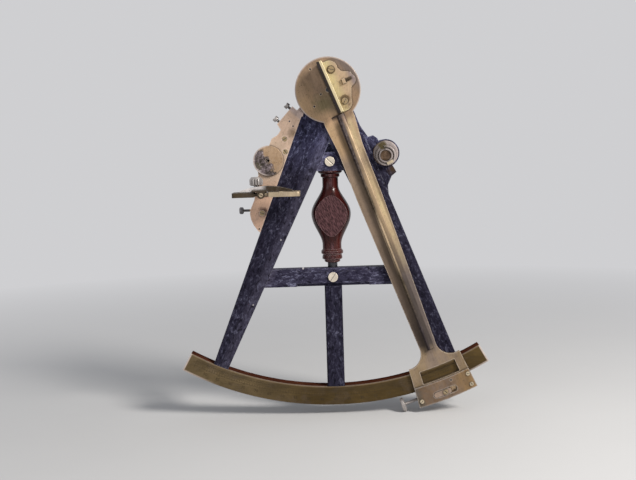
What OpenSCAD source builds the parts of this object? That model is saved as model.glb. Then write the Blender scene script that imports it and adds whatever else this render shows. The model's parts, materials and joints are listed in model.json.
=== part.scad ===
// Ebony-framed octant with a brass arc, index arm, index mirror, hinged shades and a turned grip.
// It stands upright as it is used: X to the right, Y away from the front face, Z up.
// Most places are given from the index pivot: a drop is a distance below it.

/* [Frame] */
// Thickness of the wooden frame from front to back
frame_t = 17; // [14:0.5:22]
// Half width across the outer edges of the two limbs at the shoulder
limb_outer_x = 28.6; // [27:0.2:31]
// Drop of the shoulder below the pivot
limb_shoulder = 29; // [27:0.5:31]
// Slope of a limb's outer edge from the centre line
limb_outer_tilt = 21.4; // [21:0.1:22]
// Drop of the point where the limbs' inner edges meet
limb_crotch = 52.4; // [50:0.2:54]
// Slope of a limb's inner edge from the centre line
limb_inner_tilt = 25.8; // [25:0.1:26.4]
// Radius of the rounded apex behind the index head
apex_r = 31; // [28:0.5:32]
// Drop of the joint between the apex block and the limbs
apex_cut = 44; // [42:0.5:47]
// How far the crossbar fronts lie behind the limb fronts
bar_recess = 2; // [1.8:0.1:3]
// Drop of the upper crossbar's top edge
upper_bar_drop = 62; // [59:0.5:64]
// Height of the upper crossbar
upper_bar_h = 19; // [17:0.5:21]
// Drop of the lower crossbar's top edge
lower_bar_drop = 180.3; // [177:0.5:186]
// Height of the lower crossbar
lower_bar_h = 18.3; // [16:0.5:21]
// Size of the stopped chamfers along the lower crossbar
bar_chamfer = 3.2; // [1:0.2:4]
// Half length of the stopped chamfers
bar_chamfer_half = 37; // [25:1:50]
// Width of the centre post
post_w = 17.8; // [14:0.2:21]
// Size of the chamfers along the centre post
post_chamfer = 1.2; // [0.5:0.1:2]

/* [Arc] */
// Inner radius of the arc
arc_r_in = 303; // [298:1:308]
// Radial width of the arc
arc_w = 19; // [17:0.5:22]
// Half angle that the arc spans
arc_half = 29.3; // [29:0.1:31]
// Thickness of the brass scale
scale_t = 3; // [2:0.2:4]
// How far the brass scale stands proud of the limb fronts
scale_proud = 0.6; // [0.2:0.1:0.6]
// Radius of the arc's wood screws
arc_screw_r = 1.6; // [1:0.1:2.2]

/* [Grip] */
// Depth of the grip's axis behind the frame's front
grip_y = 12; // [11.6:0.1:12.4]
// Greatest radius of the turned grip
grip_r = 20.3; // [18:0.1:21]
// Radius of the grip's upper neck
grip_neck_r = 8.1; // [7:0.1:9]
// Radius of the grip's lower neck
grip_low_r = 9.7; // [8:0.1:11]
// Radius of the bead above the grip's lower end
grip_bead_r = 11.3; // [10:0.1:11.6]
// Radius of the grip's upper flange
grip_flange_r = 12.2; // [11:0.1:12.4]
// Distance of the flat from the grip's axis
grip_flat = 11.9; // [11.5:0.1:12.2]
// Radius of the dark collar under the grip
collar_r = 5; // [4.5:0.1:5]
// Height of the collar under the grip
collar_h = 5.5; // [4:0.5:8]
// Radius of the rod through the grip
grip_rod_r = 2.6; // [2:0.1:3]
// Radius of the two crossbar screw heads
bar_screw_r = 5; // [4:0.1:5.5]

/* [Feet] */
// Drop of the two lower feet
foot_drop = 252; // [240:1:262]
// Drop of the upper foot
foot_top_drop = 37; // [35:0.5:37.5]
// Radius of a foot
foot_r = 6; // [5:0.2:6.4]
// Height of a foot off the frame's back
foot_h = 19; // [18:0.5:22]

/* [Index arm] */
// Angle of the arm to the right of the centre line
arm_angle = 19.8; // [17:0.2:21]
// Gap between the frame's front and the arm's back
arm_gap = 1; // [1:0.1:1.4]
// Thickness of the arm's plate
arm_t = 3; // [2.4:0.1:3.6]
// Radius of the index head
head_r = 33; // [31:0.5:34]
// Half width of the arm just below the head
arm_half_top = 15.8; // [14:0.1:16]
// Half width of the arm in its upper half
arm_half_mid = 13; // [12:0.1:14.2]
// Half width of the arm's neck above the vernier plate
arm_half_low = 8.8; // [8:0.1:9.4]
// Half width of the ridge along the arm
ridge_half = 7; // [5:0.2:8]
// Height of the ridge
ridge_h = 4.4; // [3:0.2:5]
// Radius of the index axle
axle_r = 5; // [4:0.1:6]
// Radius of the axle's riveted end in the index head
axle_rivet_r = 2; // [1.5:0.1:2.4]
// Radius of the axle's nut
axle_nut_r = 8; // [7:0.2:10]

/* [Vernier and tangent screw] */
// How far the arm's end plate starts inside the arc
end_lead = 6; // [5:0.5:8]
// How far the end plate overhangs the arc
end_over = 16; // [15:0.5:18]
// Angle from the arm's axis to the end plate's left edge
end_left = 5.2; // [5:0.1:5.5]
// Angle from the arm's axis to the end plate's right edge
end_right = 5.55; // [5.2:0.05:5.7]
// Radius of the hollow shoulders above the end plate
shoulder_r = 15.8; // [13:0.2:16]
// Angle from the arm's axis to the window's left edge
window_left = 3.3; // [3:0.1:3.6]
// Angle from the arm's axis to the window's right edge
window_right = 3.9; // [3.4:0.1:4.2]
// Wall left between the window and the cover plate
window_wall = 6; // [5:0.5:7]
// Radial width of the vernier strip
vernier_w = 4.2; // [3:0.2:6]
// Thickness of the cover plate below the window
cover_t = 1.5; // [1:0.1:2]
// Distance of the tangent screw beyond the arc
tangent_off = 7.5; // [7:0.1:8]
// Depth of the tangent screw behind the frame's front
tangent_y = 4.5; // [4:0.1:6]
// Radius of the tangent screw's rod
tangent_rod_r = 1.5; // [1.2:0.1:1.8]
// Radius of the tangent screw's milled head
tangent_head_r = 7.2; // [6:0.1:7.4]
// Thickness of the tangent screw's milled head
tangent_head_t = 4.2; // [3:0.1:5]
// Clear length of rod between the end plate and the milled head
tangent_clear = 12.5; // [9:0.5:14]
// Half length of the slot that the clamp's screw slides in
slot_reach = 9.5; // [9:0.5:15]
// Half length of the clamp's jaw along the tangent screw
clamp_half = 8; // [6:0.5:9]
// How far the clamp block travels along the slot
clamp_travel = 6; // [4:0.5:6]
// Radius of the clamp's thumbscrew
thumb_r = 2.5; // [2:0.1:3]
// Radius of the thumbscrew's milled head
thumb_head_r = 7; // [6:0.2:8]

/* [Index mirror] */
// Angle of the mirror to the right of the centre line
mirror_angle = 22.4; // [20:0.2:24]
// Length of the mirror along the arm
mirror_l = 53; // [46:0.5:55]
// Height of the mirror's glass
mirror_h = 34; // [28:0.5:36]
// Thickness of the mirror's glass
glass_t = 2.4; // [1.8:0.1:3]
// Thickness of the brass plate behind the glass
mirror_plate_t = 2; // [1.5:0.1:3]
// Thickness of the mirror's foot
foot_plate_t = 2; // [1.6:0.1:2.6]
// Width of the foot's end lobes
foot_lobe_w = 13.5; // [12:0.5:15]
// Reach of the foot's middle tongue from the mirror plate
tongue_reach = 25.5; // [22:0.5:26]
// Distance of each foot screw from the foot's middle
foot_screw_a = 17; // [15:0.5:18]

/* [Horizon mount] */
// How far the side plate stands proud of the limb front
plate_proud = 0.5; // [0.2:0.1:0.6]
// Thickness of the side plate
plate_t = 2; // [1.5:0.1:3]
// Drop of the turntable's axis
table_drop = 68.9; // [68:0.1:70]
// Distance of the turntable's axis from the limb's edge
table_off = 17.8; // [17.6:0.1:18.2]
// Radius of the turntable
table_r = 15.2; // [14:0.1:15.2]
// Thickness of the turntable
table_t = 2.2; // [1.6:0.1:2.6]
// Radius of the turntable's axle
table_axle_r = 4; // [3:0.1:5]
// Length of the lever behind the frame
lever_l = 51; // [47:0.5:52]
// Thickness of the lever
lever_t = 2.5; // [2:0.1:3]
// Radius of the lever's adjusting screw
lever_screw_r = 1.3; // [1:0.1:1.6]
// Radius of the adjusting screw's knob
lever_knob_r = 3.6; // [3:0.1:4.2]

/* [Shades] */
// Drop of the shades' hinge pin
shade_drop = 101.5; // [100:0.5:103]
// Distance of the hinge pin from the limb's edge
shade_off = 11.3; // [10.8:0.1:12]
// Clear depth between the frame's front and the shades
shade_front = 15; // [14:0.5:17]
// Depth of a shade frame from back to front
shade_depth = 27; // [26:0.5:30]
// Thickness of a shade frame
shade_t = 4.6; // [4.2:0.1:5.2]
// Reach of the left shade from the pin
shade_left_l = 28.7; // [28:0.1:31]
// Reach of the right shade from the pin
shade_right_l = 37.8; // [36:0.1:40]
// Radius of the left shade's glass
shade_left_r = 8.5; // [7:0.1:8.8]
// Radius of the right shade's glass
shade_right_r = 11; // [9:0.1:11.4]
// Radius of the hinge pin
shade_pin_r = 1.4; // [1.1:0.1:1.6]
// Radius of the hinge knuckles
knuckle_r = 2.7; // [2.5:0.1:2.8]
// Thickness of the shade bracket
bracket_t = 1.4; // [1.2:0.1:1.8]
// Distance of the stud to the left of the hinge pin
stud_off = 5; // [4:0.1:6]
// Radius of the knurled nut
knurl_r = 6.7; // [6:0.1:7]
// Height of the knurled nut
knurl_h = 8.5; // [7:0.5:10]
// Rise of the bow spring
bow_rise = 4.6; // [3.6:0.1:5]
// Distance of the bow spring's ends in from the shades' ends
bow_inset = 7.2; // [6:0.1:9]

/* [Sight socket] */
// Drop of the sight socket
sight_drop = 64.8; // [64:0.2:66]
// Distance of the sight socket from the limb's edge
sight_off = 13.9; // [13.6:0.1:15]
// Radius of the socket's flange
sight_r = 12.7; // [12:0.1:12.8]
// Height of the flange in front of the frame
sight_h = 6; // [4:0.5:8]
// Radius of the socket's bore
sight_bore_r = 5.7; // [5:0.1:6]
// Depth of the bore's floor behind the frame's front
sight_floor = 3; // [1:0.5:8]
// Radius of the socket's body in the wood
sight_body_r = 9; // [8.6:0.1:10]
// How far the bore sits below the flange's centre
sight_bore_low = 2.4; // [1.5:0.1:2.6]

/* [Clearances] */
// Radial clearance of a running fit
fit_gap = 0.05; // [0.02:0.01:0.08]
// Clearance between pieces that move past each other
run_gap = 0.4; // [0.35:0.05:0.45]

/* [Hidden] */
$fn = 96;
eps = 0.01;

// Colours as they look on the instrument
ebony = [0.10, 0.10, 0.12];
mahogany = [0.36, 0.17, 0.10];
rosewood = [0.27, 0.10, 0.08];
brass = [0.70, 0.62, 0.42];
pale_brass = [0.84, 0.74, 0.56];
dull_brass = [0.45, 0.38, 0.26];
steel = [0.32, 0.32, 0.33];
silver_glass = [0.62, 0.68, 0.72];
green_glass = [0.16, 0.28, 0.17];
red_glass = [0.45, 0.08, 0.07];

// Radii round the pivot
arc_r_out = arc_r_in + arc_w;
end_r_in = arc_r_in - end_lead;
end_r_out = arc_r_out + end_over;
window_r_in = arc_r_in - 0.5;
window_r_out = arc_r_out - window_wall;
cover_r_in = window_r_out + 1;
tangent_r = arc_r_out + tangent_off;
slot_r = tangent_r + 0.8;

// Depths, counted from the frame's front and growing towards its back
arm_back = -arm_gap;
arm_front = arm_back - arm_t;
cover_front = arm_front - cover_t;
foot_front = arm_front - foot_plate_t;
mirror_front = foot_front - mirror_h;
plate_front = -plate_proud;
plate_back = plate_front + plate_t;
table_back = plate_front - run_gap;
shade_back = -shade_front;
shade_near = shade_back - shade_depth;
lug_t = 2.6;
lug_near = shade_near - run_gap - lug_t;
lug_far = shade_back + run_gap + lug_t;
pin_head_h = 1.4;
front_reach = max(-lug_near + pin_head_h, -mirror_front + 1);
back_reach = frame_t + foot_h;

// The part's place: its lowest point at Z 0 and its depth centred on Y 0
head_chamfer = 0.8;
end_left_p = end_r_out * sin(end_left);
head_p = end_left_p + tangent_clear + tangent_head_t;
pivot_h = (tangent_r + tangent_head_r) * cos(arm_angle) + (head_p - head_chamfer) * sin(arm_angle);
depth_shift = (front_reach - back_reach) / 2;

// Screw sizes shared by the small fasteners
small_head_r = 2.7;
small_shank_r = 1.3;
slot_w = 0.8;
slot_deep = 0.7;
wood_bite = 8;

// Distance from the centre line to a limb's outer and inner edge at a drop
function limb_x(d) = limb_outer_x + (d - limb_shoulder) * tan(limb_outer_tilt);
function inner_x(d) = (d - limb_crotch) * tan(limb_inner_tilt);
// A point at a distance outside the left or the right limb's outer edge
function left_pt(off, d) = [-limb_x(d) - off, -d];
function right_pt(off, d) = [limb_x(d) + off, -d];
// A point at a radius and an angle from straight down
function polar(r, a) = [r * sin(a), -r * cos(a)];

table_pt = left_pt(table_off, table_drop);
sight_pt = right_pt(sight_off, sight_drop);
bore_pt = [sight_pt[0], sight_pt[1] - sight_bore_low];
pin_pt = left_pt(shade_off, shade_drop);
stud_pt = [pin_pt[0] - stud_off, shade_back - shade_depth / 2];
lever_d = table_drop + lever_l;
lever_y = frame_t + run_gap + lever_t + 2;
lever_end_x = -limb_x(lever_d) - 3;
plate_left_x = -limb_x(lever_d) - 18;
upper_bar_low = upper_bar_drop + upper_bar_h;
upper_screw_d = upper_bar_drop + upper_bar_h / 2;
lower_screw_d = lower_bar_drop + lower_bar_h / 2;
shelf_low = -shade_drop + knuckle_r + run_gap;
shelf_top = shelf_low + bracket_t;
bow_t = 1;
bow_base = -shade_drop + shade_t / 2 + run_gap;
nut_low = bow_base + bow_rise + bow_t + run_gap;

// Everything is drawn from the pivot and then set down in the part's own frame
module placed() {
    translate([0, depth_shift, pivot_h]) children();
}

// A flat piece drawn in the X-Z plane between two depths
module slab(y0, y1) {
    translate([0, y1, 0]) rotate([90, 0, 0]) linear_extrude(height = y1 - y0) children();
}

// A round bar along Y at a point of the X-Z plane
module bar_y(p, r, y0, y1) {
    translate([p[0], y1, p[1]]) rotate([90, 0, 0]) cylinder(r = r, h = y1 - y0);
}

// A piece turned about an axis along Y, from a profile of [radius, depth]
module turned_y(p) {
    translate([p[0], 0, p[1]]) rotate([-90, 0, 0]) rotate_extrude() children();
}

// A piece in the index arm's own place, where the arm hangs straight down
module on_arm() {
    rotate([0, -arm_angle, 0]) children();
}

// A piece in the index mirror's own place
module on_mirror() {
    rotate([0, -mirror_angle, 0]) children();
}

// A ring sector between two radii and two angles from straight down
module sector(r0, r1, a0, a1) {
    reach = r1 * 1.3;
    intersection() {
        difference() {
            circle(r = r1, $fn = 360);
            circle(r = r0, $fn = 360);
        }
        polygon([[0, 0], polar(reach, a0), polar(reach, a1)]);
    }
}

// A slotted screw along Y, its head in front of seat_y and its shank behind it
module slotted_screw(p, head_r, head_h, shank_r, shank_l, seat_y, turn) {
    difference() {
        union() {
            bar_y(p, head_r, seat_y - head_h, seat_y);
            bar_y(p, shank_r, seat_y - eps, seat_y + shank_l);
        }
        translate([p[0], seat_y - head_h, p[1]]) rotate([0, turn, 0])
            cube([2.4 * head_r, 2 * slot_deep, slot_w], center = true);
    }
}

// Frame

// The outline that a limb has on the left of the centre line
module limb_outline(top, low) {
    intersection() {
        polygon([[-limb_x(top), -top], [0, -top], [0, -limb_crotch], [-inner_x(low), -low],
            [-limb_x(low), -low]]);
        circle(r = arc_r_in, $fn = 360);
    }
}

module apex_block() {
    neck = apex_r / 2;
    color(ebony) placed() difference() {
        union() {
            bar_y([0, 0], apex_r, 0, frame_t);
            slab(0, frame_t) polygon([[-limb_x(neck), -neck], [limb_x(neck), -neck],
                [limb_x(apex_cut), -apex_cut], [-limb_x(apex_cut), -apex_cut]]);
        }
        bar_y([0, 0], bush_r, -1, frame_t + 1);
        for (p = back_screw_pts) bar_y(p, small_shank_r, frame_t - wood_bite, frame_t + 1);
        bar_y([0, -foot_top_drop], foot_stud_r, frame_t - wood_bite, frame_t + 1);
    }
}

module left_limb() {
    color(ebony) placed() difference() {
        slab(0, frame_t) limb_outline(apex_cut, arc_r_in);
        bar_y(foot_pt(-1), foot_stud_r, frame_t - wood_bite, frame_t + 1);
    }
}

module right_limb() {
    color(ebony) placed() difference() {
        slab(0, frame_t) mirror([1, 0]) limb_outline(apex_cut, arc_r_in);
        bar_y(foot_pt(1), foot_stud_r, frame_t - wood_bite, frame_t + 1);
    }
}

// Outline of the side plate and of the ear under it, with its scooped upper edge
plate_top = 23.7;
plate_low = 141.5;
plate_edge = [left_pt(12.9, 15.1), left_pt(22, 32.5)];
module plate_outline() {
    difference() {
        polygon([left_pt(0, plate_top), plate_edge[0], plate_edge[1], left_pt(16.2, 38.5),
            left_pt(17.4, 43), left_pt(22.4, 47), left_pt(22.4, 54), left_pt(24, 81),
            left_pt(22.3, 84), left_pt(24.1, 86), left_pt(17.9, 108), left_pt(18.3, 116),
            left_pt(17.5, 122), left_pt(14.1, 128), left_pt(9.2, 134), left_pt(3.1, 139.5),
            left_pt(0, plate_low)]);
        translate(left_pt(22.5, 41)) circle(r = 4.2);
    }
}

module left_ear() {
    color(ebony) placed() difference() {
        slab(plate_back, frame_t) plate_outline();
        bar_y(table_pt, table_axle_r + fit_gap, -1, frame_t + 1);
        for (p = plate_screw_pts) bar_y(p, small_shank_r, 0, plate_back + wood_bite);
        for (p = bracket_screw_pts) bar_y(p, small_shank_r, 0, plate_back + wood_bite);
        for (t = edge_screw_at) edge_screw_place(t) translate([0, 0, -edge_bite])
            cylinder(r = edge_shank_r, h = edge_bite + 1);
    }
}

module right_ear() {
    color(ebony) placed() difference() {
        union() {
            slab(0, frame_t) polygon([right_pt(-5, 36), right_pt(0, 36), right_pt(3.2, 48),
                right_pt(8.8, 46.5), right_pt(12, 49.5), right_pt(12, 60), right_pt(16, 78),
                right_pt(17, 84), right_pt(10.5, 88), right_pt(3, 97), right_pt(0, 106),
                right_pt(-5, 106)]);
            bar_y(sight_pt, sight_r + ear_rim, 0, frame_t);
        }
        slab(-1, frame_t + 1)
            polygon([right_pt(-40, 30), right_pt(0, 30), right_pt(0, 112), right_pt(-40, 112)]);
        bar_y(bore_pt, sight_body_r, -1, frame_t + 1);
        bar_y(lug_pt, small_shank_r, -1, wood_bite);
    }
}

// A crossbar's outline between the limbs' inner edges
module bar_outline(top, h) {
    polygon([[-inner_x(top), -top], [inner_x(top), -top], [inner_x(top + h), -top - h],
        [-inner_x(top + h), -top - h]]);
}

module grip_rod_hole(d0, d1) {
    translate([0, grip_y, -d1]) cylinder(r = grip_rod_r, h = d1 - d0);
}

// The upper crossbar has a web behind the crotch of the limbs
module upper_crossbar() {
    color(ebony) placed() difference() {
        union() {
            slab(bar_recess, frame_t) bar_outline(upper_bar_drop, upper_bar_h);
            slab(frame_t / 2, frame_t) bar_outline(limb_crotch + 1, upper_bar_drop - limb_crotch);
        }
        grip_rod_hole(rod_top, upper_bar_low + 1);
        bar_y([0, -upper_screw_d], small_shank_r, 0, grip_y);
    }
}

// A triangular prism along X that takes off a front edge
module chamfer_x(z, half, size) {
    translate([-half, bar_recess, z]) rotate([90, 0, 90]) linear_extrude(height = 2 * half)
        polygon([[-1, -size - 1], [size, 0], [-1, size + 1]]);
}

module lower_crossbar() {
    color(ebony) placed() difference() {
        slab(bar_recess, frame_t) bar_outline(lower_bar_drop, lower_bar_h);
        chamfer_x(-lower_bar_drop, bar_chamfer_half, bar_chamfer);
        chamfer_x(-lower_bar_drop - lower_bar_h, bar_chamfer_half, bar_chamfer);
        grip_rod_hole(lower_bar_drop - 1, rod_low);
        bar_y([0, -lower_screw_d], small_shank_r, 0, grip_y);
    }
}

module centre_post() {
    top = lower_bar_drop + lower_bar_h;
    color(ebony) placed() difference() {
        slab(0, frame_t) intersection() {
            translate([-post_w / 2, -arc_r_in]) square([post_w, arc_r_in - top]);
            circle(r = arc_r_in, $fn = 360);
        }
        for (s = [0, 1]) mirror([s, 0, 0]) translate([post_w / 2, 0, -arc_r_in - 1])
            linear_extrude(height = arc_r_in)
                polygon([[-post_chamfer - 1, -1], [1, -1], [1, post_chamfer + 1]]);
    }
}

arc_screw_pts = [for (a = [-26, -13, 3, 13, 26]) polar((arc_r_in + arc_r_out) / 2, a)];
arc_screw_tip = 0.8;

module arc_limb() {
    color(mahogany) placed() difference() {
        slab(scale_t - scale_proud, frame_t) sector(arc_r_in, arc_r_out - 0.5, -arc_half, arc_half);
        for (p = arc_screw_pts) bar_y(p, arc_screw_r, 0, frame_t + 1);
    }
}

module scale_arc() {
    color(brass) placed() difference() {
        slab(-scale_proud, scale_t - scale_proud) sector(arc_r_in, arc_r_out, -arc_half, arc_half);
        for (p = arc_screw_pts) bar_y(p, arc_screw_r, arc_screw_tip, frame_t + 1);
    }
}

module scale_arc_screws() {
    color(brass) placed() for (p = arc_screw_pts) bar_y(p, arc_screw_r, arc_screw_tip, frame_t);
}

// Pivot bearing

bush_r = 8;
back_plate_r = 20;
back_plate_t = 2;
back_screw_pts = [for (a = [0, 120, 240]) polar(back_plate_r - 5, a + 180)];
nut_seat = frame_t + back_plate_t + run_gap;

module pivot_bush() {
    color(brass) placed() difference() {
        bar_y([0, 0], bush_r, 0, frame_t);
        bar_y([0, 0], axle_r + fit_gap, -1, frame_t + 1);
    }
}

module pivot_back_plate() {
    color(brass) placed() difference() {
        bar_y([0, 0], back_plate_r, frame_t, frame_t + back_plate_t);
        bar_y([0, 0], axle_r + run_gap, frame_t - 1, frame_t + back_plate_t + 1);
        for (p = back_screw_pts) bar_y(p, small_head_r, frame_t - 1, frame_t + back_plate_t + 1);
    }
}

module back_plate_screws() {
    color(brass) placed() for (p = back_screw_pts) difference() {
        union() {
            bar_y(p, small_head_r, frame_t, frame_t + back_plate_t);
            bar_y(p, small_shank_r, frame_t - wood_bite, frame_t + eps);
        }
        translate([p[0], frame_t + back_plate_t, p[1]])
            cube([slot_w, 2 * slot_deep, 2.4 * small_head_r], center = true);
    }
}

// Turned grip between the crossbars

rod_top = upper_bar_drop + 4;
rod_low = lower_bar_drop + lower_bar_h - 4;
grip_low = lower_bar_drop - collar_h;
bulb_d = upper_bar_low + 44;
neck_d = upper_bar_low + 16;
low_neck_d = grip_low - 19.5;
// Radius of the swelling between the two necks
function bulb_r(d) = d < bulb_d
    ? grip_neck_r + (grip_r - grip_neck_r) * pow(sin(90 * (d - neck_d) / (bulb_d - neck_d)), 1.6)
    : grip_low_r + (grip_r - grip_low_r) * pow(sin(90 * (low_neck_d - d) / (low_neck_d - bulb_d)), 1.6);
bulb_steps = 9;
bulb_profile = concat(
    [for (i = [0 : bulb_steps]) let (d = neck_d + (bulb_d - neck_d) * i / bulb_steps) [bulb_r(d), -d]],
    [for (i = [1 : bulb_steps]) let (d = bulb_d + (low_neck_d - bulb_d) * i / bulb_steps)
        [bulb_r(d), -d]]);

module handle_grip() {
    top = upper_bar_low;
    profile = concat(
        [[grip_rod_r, -top], [grip_flange_r, -top], [grip_flange_r, -top - 1.6],
            [grip_flange_r - 2.6, -top - 3.4], [grip_neck_r + 1.6, -top - 4.2],
            [grip_neck_r + 1.6, -top - 6], [grip_neck_r, -top - 7]],
        bulb_profile,
        [[grip_low_r, -grip_low + 13.6], [grip_bead_r, -grip_low + 11.6],
            [grip_bead_r, -grip_low + 9.2], [grip_low_r, -grip_low + 8],
            [grip_low_r + 0.6, -grip_low + 5.4], [grip_low_r + 0.6, -grip_low + 3.6],
            [grip_low_r - 1.6, -grip_low + 2.4], [grip_low_r - 1.6, -grip_low + 0.8],
            [grip_low_r - 2.6, -grip_low], [grip_rod_r, -grip_low]]);
    color(rosewood) placed() difference() {
        translate([0, grip_y, 0]) rotate_extrude() polygon(profile);
        translate([-30, grip_y - grip_flat - 40, -low_neck_d]) cube([60, 40, low_neck_d - neck_d]);
    }
}

module handle_rod() {
    color(steel) placed() grip_rod_hole(rod_top, rod_low);
}

module handle_collar() {
    color(steel) placed() difference() {
        translate([0, grip_y, -lower_bar_drop]) cylinder(r = collar_r, h = collar_h);
        grip_rod_hole(grip_low - 1, lower_bar_drop + 1);
    }
}

module handle_screws() {
    reach = grip_y - grip_rod_r - bar_recess;
    color(pale_brass) placed() {
        slotted_screw([0, -upper_screw_d], bar_screw_r, 1.5, small_shank_r, reach, bar_recess, 45);
        slotted_screw([0, -lower_screw_d], bar_screw_r, 1.5, small_shank_r, reach, bar_recess, -55);
    }
}

// Three turned feet on the back

foot_stud_r = 2.2;
function foot_pt(side) = [side * (limb_x(foot_drop) + inner_x(foot_drop)) / 2, -foot_drop];
foot_pts = [foot_pt(-1), foot_pt(1), [0, -foot_top_drop]];

module rest_feet() {
    y = frame_t;
    color(ebony) placed() for (p = foot_pts) turned_y(p)
        polygon([[0, y - wood_bite], [foot_stud_r, y - wood_bite], [foot_stud_r, y], [foot_r, y],
            [foot_r, y + 2], [foot_r - 2, y + 4], [foot_r - 2.4, y + foot_h - 6],
            [foot_r - 0.6, y + foot_h - 4], [foot_r - 0.6, y + foot_h - 1.5],
            [foot_r - 1.8, y + foot_h], [0, y + foot_h]]);
}

// Horizon mount on the left ear

plate_screw_pts = [left_pt(9, 47.6), left_pt(3.6, 60.5), left_pt(5.1, 121.8)];
bracket_screw_r = small_head_r - 0.3;
bracket_screw_gap = 0.5;
bracket_screw_pts = [for (s = [-1, 1]) pin_pt + [s * (bracket_screw_r + bracket_screw_gap), 0]];
plate_pin_pts = [left_pt(10.4, 30), left_pt(5, 35), left_pt(2.4, 137.8)];
plate_pin_r = 0.8;

module horizon_plate() {
    color(pale_brass) placed() difference() {
        union() {
            slab(plate_front, plate_back) plate_outline();
            slab(arm_back + run_gap, 0) translate(left_pt(0, plate_top)) polygon([[-5, 4.4],
                [-2.4, 6.9], [-0.1, 8.5], [2.6, 5.2], [1.5, 1.2], [0.4, -2], [-4, -2]]);
        }
        bar_y(table_pt, table_axle_r + run_gap, plate_front - 1, plate_back + 1);
        for (p = plate_screw_pts) bar_y(p, small_head_r, plate_front - 1, plate_back + 1);
        for (p = bracket_screw_pts) bar_y(p, small_shank_r, plate_front - 1, plate_back + 1);
        for (p = plate_pin_pts) bar_y(p, plate_pin_r, plate_front - 1, plate_back + 1);
    }
}

module horizon_plate_screws() {
    color(brass) placed() for (i = [0 : 2])
        slotted_screw(plate_screw_pts[i], small_head_r, plate_t, small_shank_r, wood_bite, plate_back,
            [-30, 50, 20][i]);
}

// The two screws that stand out of the ear's upper edge
edge_head_r = 3;
edge_head_t = 3.4;
edge_shank_r = 1.3;
edge_clear = 3;
edge_bite = 7;
edge_screw_y = 7;
edge_screw_at = [0.13, 0.87];
edge_run = plate_edge[1] - plate_edge[0];
edge_turn = atan2(edge_run[1], edge_run[0]);

// Puts a piece on the ear's upper edge, with its own Z pointing out of the wood
module edge_screw_place(t) {
    p = plate_edge[0] + t * edge_run;
    translate([p[0], edge_screw_y, p[1]]) rotate([0, -edge_turn, 0]) rotate([180, 0, 0]) children();
}

module edge_screws() {
    color(brass) placed() for (t = edge_screw_at) edge_screw_place(t) difference() {
        union() {
            translate([0, 0, -edge_bite]) cylinder(r = edge_shank_r, h = edge_bite + edge_clear + eps);
            translate([0, 0, edge_clear]) cylinder(r = edge_head_r, h = edge_head_t);
        }
        translate([0, 0, edge_clear + edge_head_t])
            cube([slot_w, 2.4 * edge_head_r, 2 * slot_deep], center = true);
    }
}

module horizon_disc() {
    color(brass) placed() difference() {
        bar_y(table_pt, table_r, table_back - table_t, table_back);
        bar_y(table_pt, table_axle_r - 1, table_back - table_t - 1, table_back + 1);
    }
}

table_pin_r = 1.3;
lever_seat = frame_t + run_gap;
axle_end = lever_seat + lever_t + 3;

module horizon_axle() {
    color(steel) placed() difference() {
        union() {
            bar_y(table_pt, table_axle_r, table_back, lever_seat);
            bar_y(table_pt, table_axle_r - 1, table_back - table_t, axle_end);
        }
        bar_y(table_pt, table_pin_r, table_back - table_t - 1, table_back + 4);
    }
}

// The lever turns with the turntable, and its end block rides on the adjusting screw
lever_end = [lever_end_x, -lever_d];
block_half = 5;
module horizon_lever() {
    run = lever_end - table_pt;
    reach = norm(run);
    lean = atan2(run[0], -run[1]);
    color(brass) placed() difference() {
        union() {
            slab(lever_seat, lever_seat + lever_t) {
                translate(table_pt) circle(r = table_axle_r + 3);
                translate(table_pt) rotate(lean) translate([-3, -reach]) square([6, reach]);
            }
            translate([lever_end_x - block_half, lever_seat, -lever_d - block_half])
                cube([2 * block_half, 9, 2 * block_half]);
        }
        bar_y(table_pt, table_axle_r - 1, frame_t, axle_end + 1);
        translate([lever_end_x - 20, lever_y, -lever_d]) rotate([0, 90, 0])
            cylinder(r = lever_screw_r + 2 * run_gap, h = 40);
    }
}

module lever_nut() {
    color(steel) placed() difference() {
        bar_y(table_pt, table_axle_r + 2, lever_seat + lever_t, axle_end);
        bar_y(table_pt, table_axle_r - 1, lever_seat, axle_end + 1);
    }
}

// Bracket on the ear's back that carries the adjusting screw
bracket_x = plate_left_x + 3.5;
bracket_w = 4;
module lever_bracket() {
    color(brass) placed() difference() {
        translate([bracket_x - bracket_w / 2, frame_t, -lever_d - 5]) cube([bracket_w, 10, 10]);
        translate([bracket_x - 10, lever_y, -lever_d]) rotate([0, 90, 0])
            cylinder(r = lever_screw_r + fit_gap, h = 20);
    }
}

lever_knob_l = 4.5;
lever_knob_x = plate_left_x - 8;
module lever_screw() {
    color(steel) placed() translate([lever_knob_x, lever_y, -lever_d]) rotate([0, 90, 0]) {
        cylinder(r = lever_screw_r, h = lever_end_x + block_half + 3 - lever_knob_x);
        translate([0, 0, -lever_knob_l]) rotate_extrude()
            polygon([[0, 0], [lever_knob_r - 1, 0], [lever_knob_r, 1],
                [lever_knob_r, lever_knob_l - 1], [lever_knob_r - 1, lever_knob_l], [0, lever_knob_l]]);
    }
}

// Shades on a bracket in front of the side plate

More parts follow.
